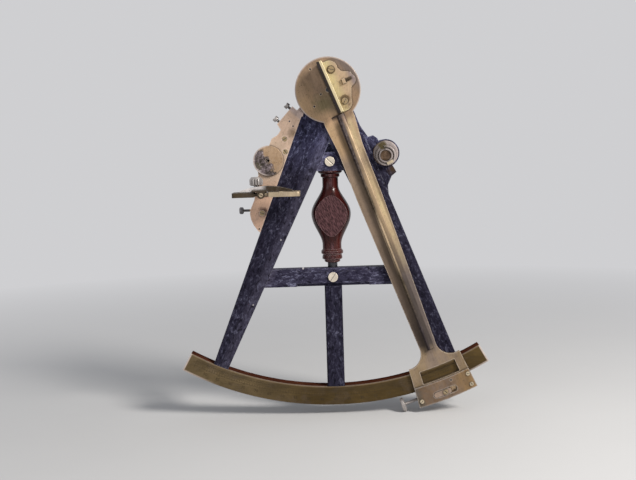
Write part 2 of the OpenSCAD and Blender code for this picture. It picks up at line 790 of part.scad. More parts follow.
bracket_left = pin_pt[0] - stud_off - 4;
foot_half = 2 * (bracket_screw_r + bracket_screw_gap);
bracket_right = pin_pt[0] + foot_half;
bracket_foot_low = -shade_drop - bracket_screw_r - bracket_screw_gap;
module shade_bracket() {
    w = bracket_right - bracket_left;
    color(dull_brass) placed() difference() {
        union() {
            translate([bracket_left, lug_near, shelf_low]) cube([w, plate_front - lug_near, bracket_t]);
            translate([pin_pt[0] - foot_half, plate_front - bracket_t, bracket_foot_low])
                cube([2 * foot_half, bracket_t, shelf_top - bracket_foot_low]);
            for (y = [lug_near, lug_far - lug_t]) translate([0, y, 0]) slab(0, lug_t) {
                translate(pin_pt) circle(r = knuckle_r + 1);
                translate([pin_pt[0] - knuckle_r - 1, -shade_drop])
                    square([2 * knuckle_r + 2, shelf_low + shade_drop + eps]);
            }
        }
        bar_y(pin_pt, shade_pin_r, lug_near - 1, lug_far + 1);
        for (p = bracket_screw_pts) bar_y(p, small_shank_r, plate_front - bracket_t - 1, 1);
        translate([stud_pt[0], stud_pt[1], shelf_low - 1]) cylinder(r = stud_r, h = bracket_t + 2);
    }
}

module shade_bracket_screws() {
    color(brass) placed() for (p = bracket_screw_pts)
        slotted_screw(p, bracket_screw_r, 1.4, small_shank_r, plate_t + bracket_t + wood_bite - 1,
            plate_front - bracket_t, 15);
}

stud_r = 2.5;
module shade_stud() {
    color(steel) placed() translate([stud_pt[0], stud_pt[1], shelf_low])
        cylinder(r = stud_r, h = nut_low + knurl_h - shelf_low);
}

// Saddle under the nut, arched along X, that sits on the shelf with its ends over the two shades
bow_half = (shade_left_l + shade_right_l) / 2 - bow_inset;
bow_shift = (shade_right_l - shade_left_l) / 2;
bow_r = (bow_half * bow_half + bow_rise * bow_rise) / (2 * bow_rise);
bow_w = 10;
module shade_spring() {
    mid = pin_pt[0] + bow_shift;
    base = bow_base + bow_rise - bow_r;
    color(brass) placed() difference() {
        slab(stud_pt[1] - bow_w / 2, stud_pt[1] + bow_w / 2) intersection() {
            translate([mid, base]) circle(r = bow_r + bow_t, $fn = 180);
            translate([mid - bow_half, bow_base]) square([2 * bow_half, 2 * bow_rise]);
        }
        translate([bracket_left - run_gap, stud_pt[1] - bow_w, bow_base - 1])
            cube([bracket_right - bracket_left + 2 * run_gap, 2 * bow_w, shelf_top - bow_base + 1]);
        translate([stud_pt[0], stud_pt[1], shelf_low]) cylinder(r = stud_r, h = 30);
    }
}

module shade_nut() {
    notches = 14;
    crown = 2.6;
    color(pale_brass) placed() translate([stud_pt[0], stud_pt[1], nut_low]) difference() {
        rotate_extrude() polygon([[stud_r + fit_gap, 0], [knurl_r - 1.4, 0], [knurl_r, 1.2],
            [knurl_r, knurl_h - crown], [knurl_r - 1.8, knurl_h], [stud_r + fit_gap, knurl_h]]);
        for (i = [0 : notches - 1]) rotate([0, 0, i * 360 / notches]) translate([knurl_r + 0.2, 0, -1])
            cylinder(r = 1.3, h = knurl_h + 2, $fn = 4);
    }
}

module shade_pin() {
    color(pale_brass) placed()
        slotted_screw(pin_pt, 2.1, pin_head_h, shade_pin_r, lug_far - lug_near, lug_near, 30);
}

// One hinged shade frame: knuckle spans, a reach from the pin and a glass, side -1 is to the left
module shade_frame(side, reach, glass_r, spans) {
    near_edge = knuckle_r + 4.5;
    mid = reach - glass_r - 4;
    corner_r = 3;
    difference() {
        union() {
            translate([pin_pt[0], 0, -shade_drop - shade_t / 2]) linear_extrude(height = shade_t)
                mirror([side < 0 ? 1 : 0, 0]) union() {
                    translate([near_edge, shade_near])
                        square([reach - corner_r - near_edge, shade_depth]);
                    translate([near_edge, shade_near + corner_r])
                        square([reach - near_edge, shade_depth - 2 * corner_r]);
                    for (y = [shade_near + corner_r, shade_back - corner_r])
                        translate([reach - corner_r, y]) circle(r = corner_r);
                }
            for (s = spans) {
                bar_y(pin_pt, knuckle_r, s[0], s[1]);
                translate([pin_pt[0], s[0], -shade_drop - shade_web / 2])
                    mirror([side < 0 ? 1 : 0, 0, 0])
                        cube([near_edge + eps, s[1] - s[0], shade_web]);
            }
        }
        bar_y(pin_pt, shade_pin_r + fit_gap, shade_near - 1, shade_back + 1);
        translate([pin_pt[0] + side * mid, (shade_near + shade_back) / 2, -shade_drop - shade_t])
            cylinder(r = glass_r, h = 2 * shade_t);
    }
}

module shade_glass(side, reach, glass_r) {
    translate([pin_pt[0] + side * (reach - glass_r - 4), (shade_near + shade_back) / 2,
        -shade_drop - 1.2]) cylinder(r = glass_r, h = 2.4);
}

shade_web = 2.4;
third = shade_depth / 3;
left_spans = [[shade_near, shade_near + third - run_gap / 2],
    [shade_back - third + run_gap / 2, shade_back]];
right_spans = [[shade_near + third + run_gap / 2, shade_back - third - run_gap / 2]];

module shade_frame_left() {
    color(dull_brass) placed() shade_frame(-1, shade_left_l, shade_left_r, left_spans);
}

module shade_frame_right() {
    color(pale_brass) placed() shade_frame(1, shade_right_l, shade_right_r, right_spans);
}

module shade_glass_left() {
    color(green_glass) placed() shade_glass(-1, shade_left_l, shade_left_r);
}

module shade_glass_right() {
    color(red_glass) placed() shade_glass(1, shade_right_l, shade_right_r);
}

// Sight socket on the right ear

ear_rim = 1.4;
lug_pt = [sight_pt[0] + 4, sight_pt[1] - 9.2];
socket_end = frame_t + 5;
flange_h = sight_h - 2.6;
ring_wall = 1.7;
ring_gap = 1.1;
key_w = 5;
key_turn = 25;

// A turned ring round the bore with a bevelled rim
module socket_ring(r_in, top) {
    bevel = 0.5;
    turned_y(bore_pt) polygon([[r_in, eps], [r_in, -top], [r_in + ring_wall - bevel, -top],
        [r_in + ring_wall, -top + bevel], [r_in + ring_wall, eps]]);
}

module sight_socket() {
    collar_in = sight_bore_r + ring_wall + ring_gap;
    color(pale_brass) placed() difference() {
        union() {
            turned_y(sight_pt) polygon([[0, 0], [sight_r, 0], [sight_r, -flange_h + 1],
                [sight_r - 1, -flange_h], [0, -flange_h]]);
            bar_y(bore_pt, sight_body_r, -eps, frame_t);
            bar_y(bore_pt, sight_body_r - 1.4, frame_t - eps, socket_end);
            socket_ring(sight_bore_r, sight_h - 0.8);
            socket_ring(collar_in, sight_h);
        }
        bar_y(bore_pt, sight_bore_r, -sight_h - 1, sight_floor);
        translate([bore_pt[0], -sight_h - 1, bore_pt[1]]) rotate([0, -key_turn, 0])
            translate([-key_w / 2, 0, 0]) cube([key_w, 1 + sight_h - flange_h, 2 * sight_r]);
        bar_y(lug_pt, small_shank_r, -sight_h - 1, wood_bite);
    }
}

module sight_socket_nut() {
    color(brass) placed() difference() {
        bar_y(bore_pt, sight_body_r + 2.4, frame_t, frame_t + 3.4);
        bar_y(bore_pt, sight_body_r - 1.4, frame_t - 1, frame_t + 5);
    }
}

// Screw with a bar for a head, which turns over the stem's foot to hold it
latch_l = 6.6;
latch_w = 2.8;
latch_h = 1.4;
latch_turn = -27;
module sight_lug_screw() {
    color(pale_brass) placed() {
        bar_y(lug_pt, small_shank_r, -sight_h - eps, wood_bite);
        translate([lug_pt[0], -sight_h - latch_h / 2, lug_pt[1]]) rotate([0, latch_turn, 0])
            cube([latch_l, latch_h, latch_w], center = true);
    }
}

// Index arm and what rides on it

ridge_start = mirror_l / 2 + 2 * run_gap;
ridge_end = end_r_in - 14;
shoulder_a = end_r_in - 1 - shoulder_r;
shoulder_x = arm_half_low + shoulder_r;
slot_half = 3.2;
head_pin_pts = [[-8, -1.6], [-18.5, -10.5], [-9, 25.5]];

// The arm's outline as it hangs straight down, without its openings
module arm_outline() {
    circle(r = head_r);
    polygon([[-arm_half_top, -24], [-arm_half_top, -34], [-arm_half_mid, -62], [-arm_half_mid, -118],
        [-arm_half_low, -shoulder_a], [arm_half_low, -shoulder_a], [arm_half_mid, -118],
        [arm_half_mid, -62], [arm_half_top, -34], [arm_half_top, -24]]);
    difference() {
        translate([-shoulder_x, -end_r_in - 1]) square([2 * shoulder_x, end_r_in + 1 - shoulder_a]);
        for (s = [-1, 1]) translate([s * shoulder_x, -shoulder_a]) circle(r = shoulder_r);
    }
    sector(end_r_in, end_r_out, -end_left, end_right);
}

// The slot for the clamp's screw, with round ends
module slot_outline() {
    translate([-slot_reach, -slot_r - slot_half]) square([2 * slot_reach, 2 * slot_half]);
    for (s = [-1, 1]) translate([s * slot_reach, -slot_r]) circle(r = slot_half);
}

module index_arm() {
    color(brass) placed() on_arm() slab(arm_front, arm_back) difference() {
        arm_outline();
        sector(window_r_in, window_r_out, -window_left, window_right);
        slot_outline();
        circle(r = axle_rivet_r);
        for (p = head_pin_pts) translate(p) circle(r = 0.9);
        for (p = foot_screw_pts) rotate(mirror_lean) translate(p) circle(r = small_shank_r);
        for (p = cover_screw_pts) translate(p) circle(r = 1);
    }
}

// Hollow-sided ridge along the arm
module arm_ridge() {
    steps = 6;
    cove = [for (i = [0 : steps]) let (t = i / steps) [ridge_half * (1 - t), ridge_h * pow(t, 1.7)]];
    profile = concat(cove, [for (i = [steps - 1 : -1 : 0]) [-cove[i][0], cove[i][1]]]);
    color(brass) placed() on_arm() translate([0, arm_front, -ridge_end])
        linear_extrude(height = ridge_end - ridge_start) mirror([0, 1]) polygon(profile);
}

axle_end_y = nut_seat + 4;
module index_axle() {
    color(steel) placed() {
        bar_y([0, 0], axle_rivet_r, arm_front, arm_back + eps);
        bar_y([0, 0], axle_r, arm_back, nut_seat);
        bar_y([0, 0], axle_r - 1.5, nut_seat - eps, axle_end_y);
    }
}

module axle_nut() {
    color(brass) placed() difference() {
        translate([0, axle_end_y, 0]) rotate([90, 0, 0])
            cylinder(r = axle_nut_r, h = axle_end_y - nut_seat, $fn = 6);
        bar_y([0, 0], axle_r - 1.5, nut_seat - 1, axle_end_y + 1);
    }
}

// Index mirror, drawn with the glass face through the pivot and the arm hanging down

mirror_lean = mirror_angle - arm_angle;
mirror_plate_x = glass_t;
foot_x = glass_t + mirror_plate_t;
foot_screw_pts = [[foot_x + 6.7, foot_screw_a], [foot_x + 6.7, -foot_screw_a]];
pillar_x = foot_x + 13.6;
pillar_h = 3.4;
pillar_lift = 1.3;
pillar_hole_y = foot_front - 1.7;
adjust_r = 1.3;
adjust_l = 9;

// Three-lobed outline of the mirror's foot
module foot_outline() {
    lobe_r = foot_lobe_w / 2 + 1.6;
    waist = foot_lobe_w + 4.5;
    intersection() {
        union() {
            translate([foot_x, -mirror_l / 2]) square([foot_lobe_w / 2, mirror_l]);
            for (s = [-1, 1]) translate([foot_x + foot_lobe_w - lobe_r, s * (mirror_l / 2 - lobe_r)])
                circle(r = lobe_r);
            difference() {
                translate([foot_x, -13]) square([tongue_reach - 5, 26]);
                for (s = [-1, 1]) translate([foot_x + waist, s * 13]) circle(r = 6.6);
                for (s = [-1, 1]) translate([foot_x + waist, s * 10 - 5]) square([20, 10]);
            }
            translate([foot_x + tongue_reach - 6, 0]) circle(r = 6);
            polygon([[foot_x, -mirror_l / 2 + lobe_r], [foot_x + foot_lobe_w, -mirror_l / 2 + lobe_r],
                [foot_x + foot_lobe_w + 4.6, -7.4], [foot_x + foot_lobe_w + 8, -5], [foot_x, -5]]);
            polygon([[foot_x, 16], [foot_x + foot_lobe_w - 0.3, 16], [foot_x + foot_lobe_w + 0.3, 14.6],
                [foot_x + foot_lobe_w + 1.5, 12], [foot_x + foot_lobe_w + 3.9, 10.1],
                [foot_x + foot_lobe_w + 7.5, 8.8], [foot_x + foot_lobe_w + 10.1, 6.5],
                [foot_x + foot_lobe_w + 10.1, -1], [foot_x, -1]]);
        }
        translate([foot_x, -mirror_l]) square([2 * tongue_reach, 2 * mirror_l]);
    }
}

module mirror_foot() {
    color(pale_brass) placed() on_mirror() difference() {
        union() {
            slab(foot_front, arm_front) foot_outline();
            translate([pillar_x - 1.6, foot_front - pillar_h, pillar_lift - 2.5])
                cube([3.2, pillar_h + eps, 5]);
        }
        for (p = foot_screw_pts) bar_y(p, small_shank_r, foot_front - 1, arm_front + 1);
        translate([pillar_x - 0.6, pillar_hole_y, pillar_lift]) rotate([0, 90, 0])
            cylinder(r = adjust_r, h = adjust_l);
    }
}

module mirror_foot_screws() {
    color(brass) placed() on_mirror() for (i = [0 : 1])
        slotted_screw(foot_screw_pts[i], 3, 1.4, small_shank_r, foot_plate_t + arm_t, foot_front,
            [35, -40][i]);
}

module mirror_back_plate() {
    color(brass) placed() on_mirror()
        translate([mirror_plate_x, mirror_front, -mirror_l / 2])
            cube([mirror_plate_t, arm_front - mirror_front, mirror_l]);
}

module index_mirror() {
    color(silver_glass) placed() on_mirror() translate([0, mirror_front, -mirror_l / 2 + 1])
        cube([glass_t, arm_front - 1 - mirror_front, mirror_l - 2]);
}

// Clip that holds the glass against its plate: a sill under it and a cap over it
module mirror_clip() {
    lip = 1;
    color(dull_brass) placed() on_mirror() {
        translate([-lip, mirror_front - 1, -mirror_l / 2])
            cube([lip + glass_t + mirror_plate_t, 1, mirror_l]);
        translate([-lip, mirror_front - eps, -mirror_l / 2]) cube([lip, 3, mirror_l]);
        translate([0, arm_front - 1, -mirror_l / 2]) cube([glass_t, 1, mirror_l]);
        for (s = [-1, 1]) translate([0, mirror_front, s * (mirror_l / 2 - 0.5) - 0.5])
            cube([glass_t, arm_front - mirror_front, 1]);
    }
}

module mirror_adjust_screw() {
    color(brass) placed() on_mirror() translate([pillar_x - 0.6, pillar_hole_y, pillar_lift])
        rotate([0, 90, 0]) difference() {
            cylinder(r = adjust_r, h = adjust_l);
            translate([0, 0, adjust_l]) cube([3 * adjust_r, slot_w, 2 * slot_deep], center = true);
        }
}

// Vernier, cover plate and tangent screw

cover_screw_pts = [polar(cover_r_in + 5, 5), polar(end_r_out - 4.5, 4.8), polar(end_r_out - 6, -4.5)];
cover_pin_pt = polar(cover_r_in + 4, 1.7);

// Thin strip with a bevelled reading edge, seated on the window's upper edge
module vernier() {
    top_y = arm_front + 0.6;
    color(pale_brass) placed() on_arm() difference() {
        slab(top_y, arm_back)
            sector(window_r_in, window_r_in + vernier_w, -window_left, window_right);
        translate([0, arm_back - 0.5, 0]) rotate([90, 0, 0]) rotate_extrude($fn = 360)
            polygon([[window_r_in + vernier_w, 0], [window_r_in + vernier_w + 1, 0],
                [window_r_in + vernier_w + 1, 5], [window_r_in + 1, 5],
                [window_r_in + 1, arm_back - 0.5 - top_y]]);
    }
}

module tangent_cover() {
    color(pale_brass) placed() on_arm() slab(cover_front, arm_front) difference() {
        sector(cover_r_in, end_r_out, -end_left, end_right);
        slot_outline();
        translate(cover_pin_pt) circle(r = 0.9);
        for (p = cover_screw_pts) translate(p) circle(r = 1);
    }
}

module tangent_cover_screws() {
    color(brass) placed() on_arm() for (i = [0 : 2])
        slotted_screw(cover_screw_pts[i], 2.1, 0.9, 1, arm_t + cover_t, cover_front, [20, 70, -30][i]);
}

// Two lugs behind the end plate that carry the tangent screw
lug_half = 3.2;
lug_len = 4;
lug_left_p = -end_left_p + 1.5;
lug_right_p = end_left_p - 8;

module tangent_axis(p) {
    translate([p, tangent_y, -tangent_r]) rotate([0, 90, 0]) children();
}

module tangent_lugs() {
    color(brass) placed() on_arm() for (p = [lug_left_p, lug_right_p]) difference() {
        translate([p, arm_back, -tangent_r - lug_half])
            cube([lug_len, tangent_y + lug_half - arm_back, 2 * lug_half]);
        tangent_axis(p - 1) cylinder(r = tangent_rod_r + fit_gap, h = lug_len + 2);
    }
}

module tangent_screw() {
    h = tangent_head_t;
    color(pale_brass) placed() on_arm() {
        tangent_axis(-head_p + h - eps) cylinder(r = tangent_rod_r, h = lug_right_p + lug_len + head_p - h);
        tangent_axis(-head_p) difference() {
            rotate_extrude() polygon([[0, 0], [tangent_head_r - head_chamfer, 0],
                [tangent_head_r, head_chamfer], [tangent_head_r, h - head_chamfer],
                [tangent_head_r - head_chamfer, h], [0, h]]);
            for (i = [0 : 23]) rotate([0, 0, (i + 0.5) * 15]) translate([tangent_head_r + 0.2, 0, -1])
                cylinder(r = 0.5, h = h + 2, $fn = 4);
        }
    }
}

// Clamp that grips the arc from behind: a block on the tangent screw, a jaw behind the arc and a
// tongue that slides in the cover's slot

jaw_front = frame_t + run_gap;
jaw_back = jaw_front + 4.5;
block_right = slot_reach + slot_half + 0.6;
block_left = block_right + clamp_travel;
block_in = arc_r_out + 2.4;
block_out = tangent_r + 6;
jaw_in = arc_r_in + 3;
thumb_a = (arc_r_in + arc_r_out) / 2;

module clamp_slider() {
    color(brass) placed() on_arm() difference() {
        union() {
            translate([-block_left, arm_back + run_gap, -block_out])
                cube([block_left + block_right, jaw_back - arm_back - run_gap, block_out - block_in]);
            slab(slot_head_seat, tongue_back) translate([-tongue_left, -slot_r - tongue_half])
                square([tongue_left + tongue_right, 2 * tongue_half]);
            for (p = [-tongue_left, tongue_right])
                bar_y([p, -slot_r], tongue_half, slot_head_seat, tongue_back);
        }
        tangent_axis(-30) cylinder(r = tangent_rod_r + run_gap, h = 60);
        bar_y([0, -slot_r], slot_shank_r, slot_head_seat - 1, slot_screw_tip);
    }
}

// The jaw stands on the block's inner face and reaches behind the arc
module clamp_jaw() {
    color(brass) placed() on_arm() difference() {
        translate([-clamp_half, jaw_front, -block_in])
            cube([2 * clamp_half, jaw_back - jaw_front, block_in - jaw_in]);
        bar_y([0, -thumb_a], thumb_r + fit_gap, frame_t, jaw_back + 1);
    }
}

slot_shank_r = 1.3;
tongue_half = slot_half - run_gap;
tongue_left = slot_reach;
tongue_right = slot_reach - clamp_travel;
tongue_back = arm_back + run_gap + eps;
slot_screw_tip = tangent_y - tangent_rod_r - 2 * run_gap;
slot_head_seat = cover_front - run_gap;

module slot_screw() {
    color(pale_brass) placed() on_arm() slotted_screw([0, -slot_r], 2.6, 1.2, slot_shank_r,
        slot_screw_tip - slot_head_seat, slot_head_seat, 60);
}

thumb_head_y = jaw_back + 1;
module clamp_screw() {
    y = thumb_head_y;
    color(brass) placed() on_arm() difference() {
        turned_y([0, -thumb_a]) polygon([[0, frame_t + 2 * run_gap], [thumb_r, frame_t + 2 * run_gap],
            [thumb_r, y], [thumb_head_r - 1, y], [thumb_head_r, y + 1], [thumb_head_r, y + 4],
            [thumb_head_r - 1, y + 5], [0, y + 5]]);
        for (i = [0 : 23]) translate([0, y - 1, -thumb_a]) rotate([-90, i * 15, 0])
            translate([thumb_head_r + 0.2, 0, 0]) cylinder(r = 0.5, h = 8, $fn = 4);
    }
}

apex_block();
left_limb();
right_limb();
left_ear();
right_ear();
upper_crossbar();
lower_crossbar();
centre_post();
arc_limb();
scale_arc();
scale_arc_screws();
pivot_bush();
pivot_back_plate();
back_plate_screws();
handle_grip();
handle_rod();
handle_collar();
handle_screws();
rest_feet();
horizon_plate();
horizon_plate_screws();
edge_screws();
lever_bracket();
shade_bracket();
shade_bracket_screws();
shade_stud();
shade_spring();
shade_pin();
sight_socket();
sight_socket_nut();
sight_lug_screw();
index_arm();
arm_ridge();
index_axle();
axle_nut();
mirror_foot();
mirror_foot_screws();
mirror_back_plate();
index_mirror();
mirror_clip();
mirror_adjust_screw();
vernier();
tangent_cover();
tangent_cover_screws();
tangent_lugs();
clamp_slider();
clamp_jaw();
slot_screw();
tangent_screw();
clamp_screw();
horizon_disc();
horizon_axle();
horizon_lever();
lever_nut();
lever_screw();
shade_frame_left();
shade_glass_left();
shade_frame_right();
shade_glass_right();
shade_nut();
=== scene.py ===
import bmesh
import bpy
import json
from math import atan2, cos, pi, radians, sin
from mathutils import Matrix, Vector


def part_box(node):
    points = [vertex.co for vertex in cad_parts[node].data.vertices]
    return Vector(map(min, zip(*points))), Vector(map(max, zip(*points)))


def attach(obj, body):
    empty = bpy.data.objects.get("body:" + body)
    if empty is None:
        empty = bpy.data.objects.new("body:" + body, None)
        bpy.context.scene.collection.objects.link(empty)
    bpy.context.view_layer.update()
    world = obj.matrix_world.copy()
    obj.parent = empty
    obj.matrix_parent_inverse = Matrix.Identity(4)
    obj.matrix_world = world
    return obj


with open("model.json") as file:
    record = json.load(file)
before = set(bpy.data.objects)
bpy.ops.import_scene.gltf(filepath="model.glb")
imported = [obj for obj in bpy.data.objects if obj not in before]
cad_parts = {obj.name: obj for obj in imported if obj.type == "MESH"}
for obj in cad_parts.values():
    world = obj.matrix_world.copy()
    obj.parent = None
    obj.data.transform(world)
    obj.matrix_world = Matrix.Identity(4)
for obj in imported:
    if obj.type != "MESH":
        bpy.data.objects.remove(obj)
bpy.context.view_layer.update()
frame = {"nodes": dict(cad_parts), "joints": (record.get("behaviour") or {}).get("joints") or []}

MM = 0.001
JOINTS = {joint["name"]: joint for joint in frame["joints"]}
PIVOT = Vector(JOINTS["index_swing"]["pos_m"])
TABLE = Vector(JOINTS["horizon_turn"]["pos_m"])
ARM_ACROSS = Vector(JOINTS["clamp_slide"]["axis"])
ARM_ANGLE = atan2(ARM_ACROSS.z, ARM_ACROSS.x)
ARM_DOWN = Vector((sin(ARM_ANGLE), 0.0, -cos(ARM_ANGLE)))
LIMB_LEAN = radians(23.6)


def rgb(red, green, blue):
    """A colour as a screen shows it, 0 to 255, in the linear values that shaders take."""
    return tuple(((c / 255.0 + 0.055) / 1.055) ** 2.4 for c in (red, green, blue))


def from_pivot(x, z):
    """A place on the front, in millimetres to the right of the pivot and above it."""
    return PIVOT + Vector((x, 0.0, z)) * MM


# Node graphs for the materials

class Graph:
    """A material's node graph with short calls for the nodes that repeat."""

    def __init__(self, name):
        self.material = bpy.data.materials.new(name)
        self.material.use_nodes = True
        self.tree = self.material.node_tree
        self.tree.nodes.clear()
        self.shader = self.tree.nodes.new("ShaderNodeBsdfPrincipled")
        output = self.tree.nodes.new("ShaderNodeOutputMaterial")
        self.tree.links.new(self.shader.outputs["BSDF"], output.inputs["Surface"])
        self.place = self.tree.nodes.new("ShaderNodeTexCoord")

    def put(self, socket, value):
        """Links an output to a socket, or sets the socket to a plain value."""
        if isinstance(value, bpy.types.NodeSocket):
            self.tree.links.new(value, socket)
        elif hasattr(value, "__len__") and len(value) == 3 and socket.type == "RGBA":
            socket.default_value = (*value, 1.0)
        else:
            socket.default_value = value

    def surface(self, **values):
        """Sets the shader's own sockets by their names, with spaces as underscores."""
        for name, value in values.items():
            self.put(self.shader.inputs[name.replace("_", " ")], value)

    def coords(self, turn=(0.0, 0.0, 0.0), stretch=(1.0, 1.0, 1.0)):
        turned = self.tree.nodes.new("ShaderNodeMapping")
        turned.vector_type = "TEXTURE"
        turned.inputs["Rotation"].default_value = turn
        self.put(turned.inputs["Vector"], self.place.outputs["Object"])
        scaled = self.tree.nodes.new("ShaderNodeMapping")
        scaled.inputs["Scale"].default_value = stretch
        self.put(scaled.inputs["Vector"], turned.outputs["Vector"])
        return scaled.outputs["Vector"]

    def noise(self, vector, scale, detail=4.0, rough=0.55, bend=0.0):
        node = self.tree.nodes.new("ShaderNodeTexNoise")
        self.put(node.inputs["Vector"], vector)
        node.inputs["Scale"].default_value = scale
        node.inputs["Detail"].default_value = detail
        node.inputs["Roughness"].default_value = rough
        node.inputs["Distortion"].default_value = bend
        return node.outputs["Fac"]

    def cells(self, vector, scale):
        node = self.tree.nodes.new("ShaderNodeTexVoronoi")
        self.put(node.inputs["Vector"], vector)
        node.inputs["Scale"].default_value = scale
        return node.outputs["Distance"]

    def ramp(self, fac, low, high, start=0.0, end=1.0):
        """Carries a factor from one range to another, held at both ends."""
        node = self.tree.nodes.new("ShaderNodeMapRange")
        self.put(node.inputs["Value"], fac)
        node.inputs["From Min"].default_value = low
        node.inputs["From Max"].default_value = high
        node.inputs["To Min"].default_value = start
        node.inputs["To Max"].default_value = end
        return node.outputs["Result"]

    def math(self, operation, a, b=0.0):
        node = self.tree.nodes.new("ShaderNodeMath")
        node.operation = operation
        self.put(node.inputs[0], a)
        self.put(node.inputs[1], b)
        return node.outputs["Value"]

    def times(self, a, b):
        return self.math("MULTIPLY", a, b)

    def mix(self, fac, a, b, blend="MIX"):
        node = self.tree.nodes.new("ShaderNodeMix")
        node.data_type = "RGBA"
        node.blend_type = blend
        self.put(node.inputs[0], fac)
        self.put(node.inputs[6], a)
        self.put(node.inputs[7], b)
        return node.outputs[2]

    def vector_math(self, operation, a, b, result="Vector"):
        node = self.tree.nodes.new("ShaderNodeVectorMath")
        node.operation = operation
        self.put(node.inputs[0], a)
        self.put(node.inputs[1], b)
        return node.outputs[result]

    def along(self, origin, direction):
        """How far a point of the surface lies from an origin along a direction, in metres."""
        arm = self.vector_math("SUBTRACT", self.place.outputs["Object"], origin)
        return self.vector_math("DOT_PRODUCT", arm, direction, "Value")

    def span(self, point):
        """How far a point of the surface lies from a place, seen from the front."""
        flat = self.vector_math("MULTIPLY", self.place.outputs["Object"], (1.0, 0.0, 1.0))
        return self.vector_math("DISTANCE", flat, (point.x, 0.0, point.z), "Value")

    def near(self, point, inner, outer, ragged=0.0):
        """A mask, 1 within an inner radius of a place on the front and 0 past an outer one."""
        reach = self.span(point)
        if ragged:
            wander = self.ramp(self.noise(self.coords(), 260.0), 0.25, 0.75, -ragged, ragged)
            reach = self.math("ADD", reach, wander)
        return self.ramp(reach, outer, inner)

    def worn_edge(self, radius, low=0.02, high=0.2):
        """A mask that is 1 along convex and concave edges, within a radius of them."""
        rounded = self.tree.nodes.new("ShaderNodeBevel")
        rounded.samples = 4
        rounded.inputs["Radius"].default_value = radius
        plain = self.tree.nodes.new("ShaderNodeNewGeometry")
        turn = self.vector_math("DOT_PRODUCT", rounded.outputs["Normal"], plain.outputs["Normal"], "Value")
        return self.ramp(turn, 1.0 - low, 1.0 - high)

    def crevice(self, reach, low=0.75, high=0.3):
        """A mask that is 1 deep in corners and 0 in the open."""
        node = self.tree.nodes.new("ShaderNodeAmbientOcclusion")
        node.samples = 4
        node.inputs["Distance"].default_value = reach
        return self.ramp(node.outputs["AO"], low, high)

    def relief(self, height, strength, depth):
        node = self.tree.nodes.new("ShaderNodeBump")
        node.inputs["Strength"].default_value = strength
        node.inputs["Distance"].default_value = depth
        self.put(node.inputs["Height"], height)
        self.put(self.shader.inputs["Normal"], node.outputs["Normal"])


# Wood

CHIPS = [(from_pivot(-51.9, -149.7), 1.0), (from_pivot(-82.8, -215.5), 0.9), (from_pivot(-30.5, -180.0), 1.1)]
APEX_JOINT = from_pivot(0.0, -44.0)
UPPER_LIFT = (2.15, 2.3, 2.5)
EAR_STAIN = from_pivot(63.7, -81.1)
LIMB_EDGE = from_pivot(-2.5, -52.4)
LIMB_ACROSS = Vector((cos(radians(25.8)), 0.0, -sin(radians(25.8))))


def ebony(name, lean, shade=1.0, rub_and_glint=0.5, stain=None):
    """Near-black blue-grey wood: grain along a lean from upright, crackled flecks, chips, and rubbed edges
    lightened further as a painted highlight.
    """
    g = Graph(name)
    turn = (0.0, lean, 0.0)
    open_place = g.coords(turn)
    grain = g.noise(g.coords(turn, (1.0, 1.0, 0.12)), 900.0, 6.0, 0.7)
    bands = g.noise(g.coords(turn, (1.0, 1.0, 0.04)), 150.0, 3.0, 0.5)
    patches = g.noise(open_place, 40.0, 5.0, 0.65)
    crackle = g.noise(g.coords(turn, (1.0, 1.0, 0.5)), 360.0, 4.0, 0.75, 0.8)
    flecks = g.times(g.ramp(crackle, 0.54, 0.66), g.ramp(patches, 0.34, 0.60, 0.25, 1.0))
    pits = g.ramp(crackle, 0.47, 0.36)
    rubbed_glint = g.times(g.worn_edge(1.3 * MM), g.ramp(g.noise(open_place, 260.0), 0.42, 0.60))
    off_joint = g.math("ABSOLUTE", g.along(APEX_JOINT, (0.0, 0.0, 1.0)))
    rubbed_glint = g.times(rubbed_glint, g.ramp(off_joint, 1.5 * MM, 3.0 * MM))
    tone = g.mix(g.ramp(grain, 0.32, 0.68), (0.009, 0.008, 0.015), (0.024, 0.021, 0.040))
    tone = g.mix(g.ramp(bands, 0.42, 0.66, 0.0, 0.5), tone, (0.034, 0.031, 0.056))
    tone = g.mix(g.ramp(patches, 0.46, 0.74, 0.0, 0.5), tone, (0.042, 0.040, 0.068))
    inner = g.math("ABSOLUTE", g.along(LIMB_EDGE, LIMB_ACROSS))
    inner = g.times(g.ramp(inner, 9.0 * MM, 4.0 * MM), g.ramp(grain, 0.3, 0.7, 0.2, 0.7))
    tone = g.mix(inner, tone, (0.082, 0.074, 0.112))
    tone = g.mix(g.times(pits, 0.85), tone, (0.003, 0.003, 0.006))
    tone = g.mix(g.times(flecks, 0.8), tone, (0.150, 0.150, 0.220))
    # Rubbed edges, lightened beyond their wear into a painted highlight where the edges catch the light.
    tone = g.mix(g.times(rubbed_glint, rub_and_glint), tone, (0.250, 0.240, 0.300))
    for place, radius in CHIPS:
        tone = g.mix(g.near(place, 0.4 * radius * MM, 1.1 * radius * MM, 0.5 * MM), tone, (0.46, 0.43, 0.44))
    if stain:
        tone = g.mix(g.near(stain, 2.0 * MM, 7.0 * MM, 1.5 * MM), tone, (0.055, 0.034, 0.022))
    rise = g.along(PIVOT, (0.0, 0.0, 1.0))
    lift = g.mix(g.ramp(rise, -85 * MM, -48 * MM), [shade] * 3, [c * shade for c in UPPER_LIFT])
    tone = g.mix(1.0, tone, lift, "MULTIPLY")
    g.surface(Base_Color=tone, Specular_IOR_Level=0.04)
    g.surface(Roughness=g.ramp(patches, 0.3, 0.7, 0.44, 0.62))
    g.relief(g.math("ADD", grain, g.times(crackle, 0.9)), 0.4, 0.25 * MM)
    return g.material


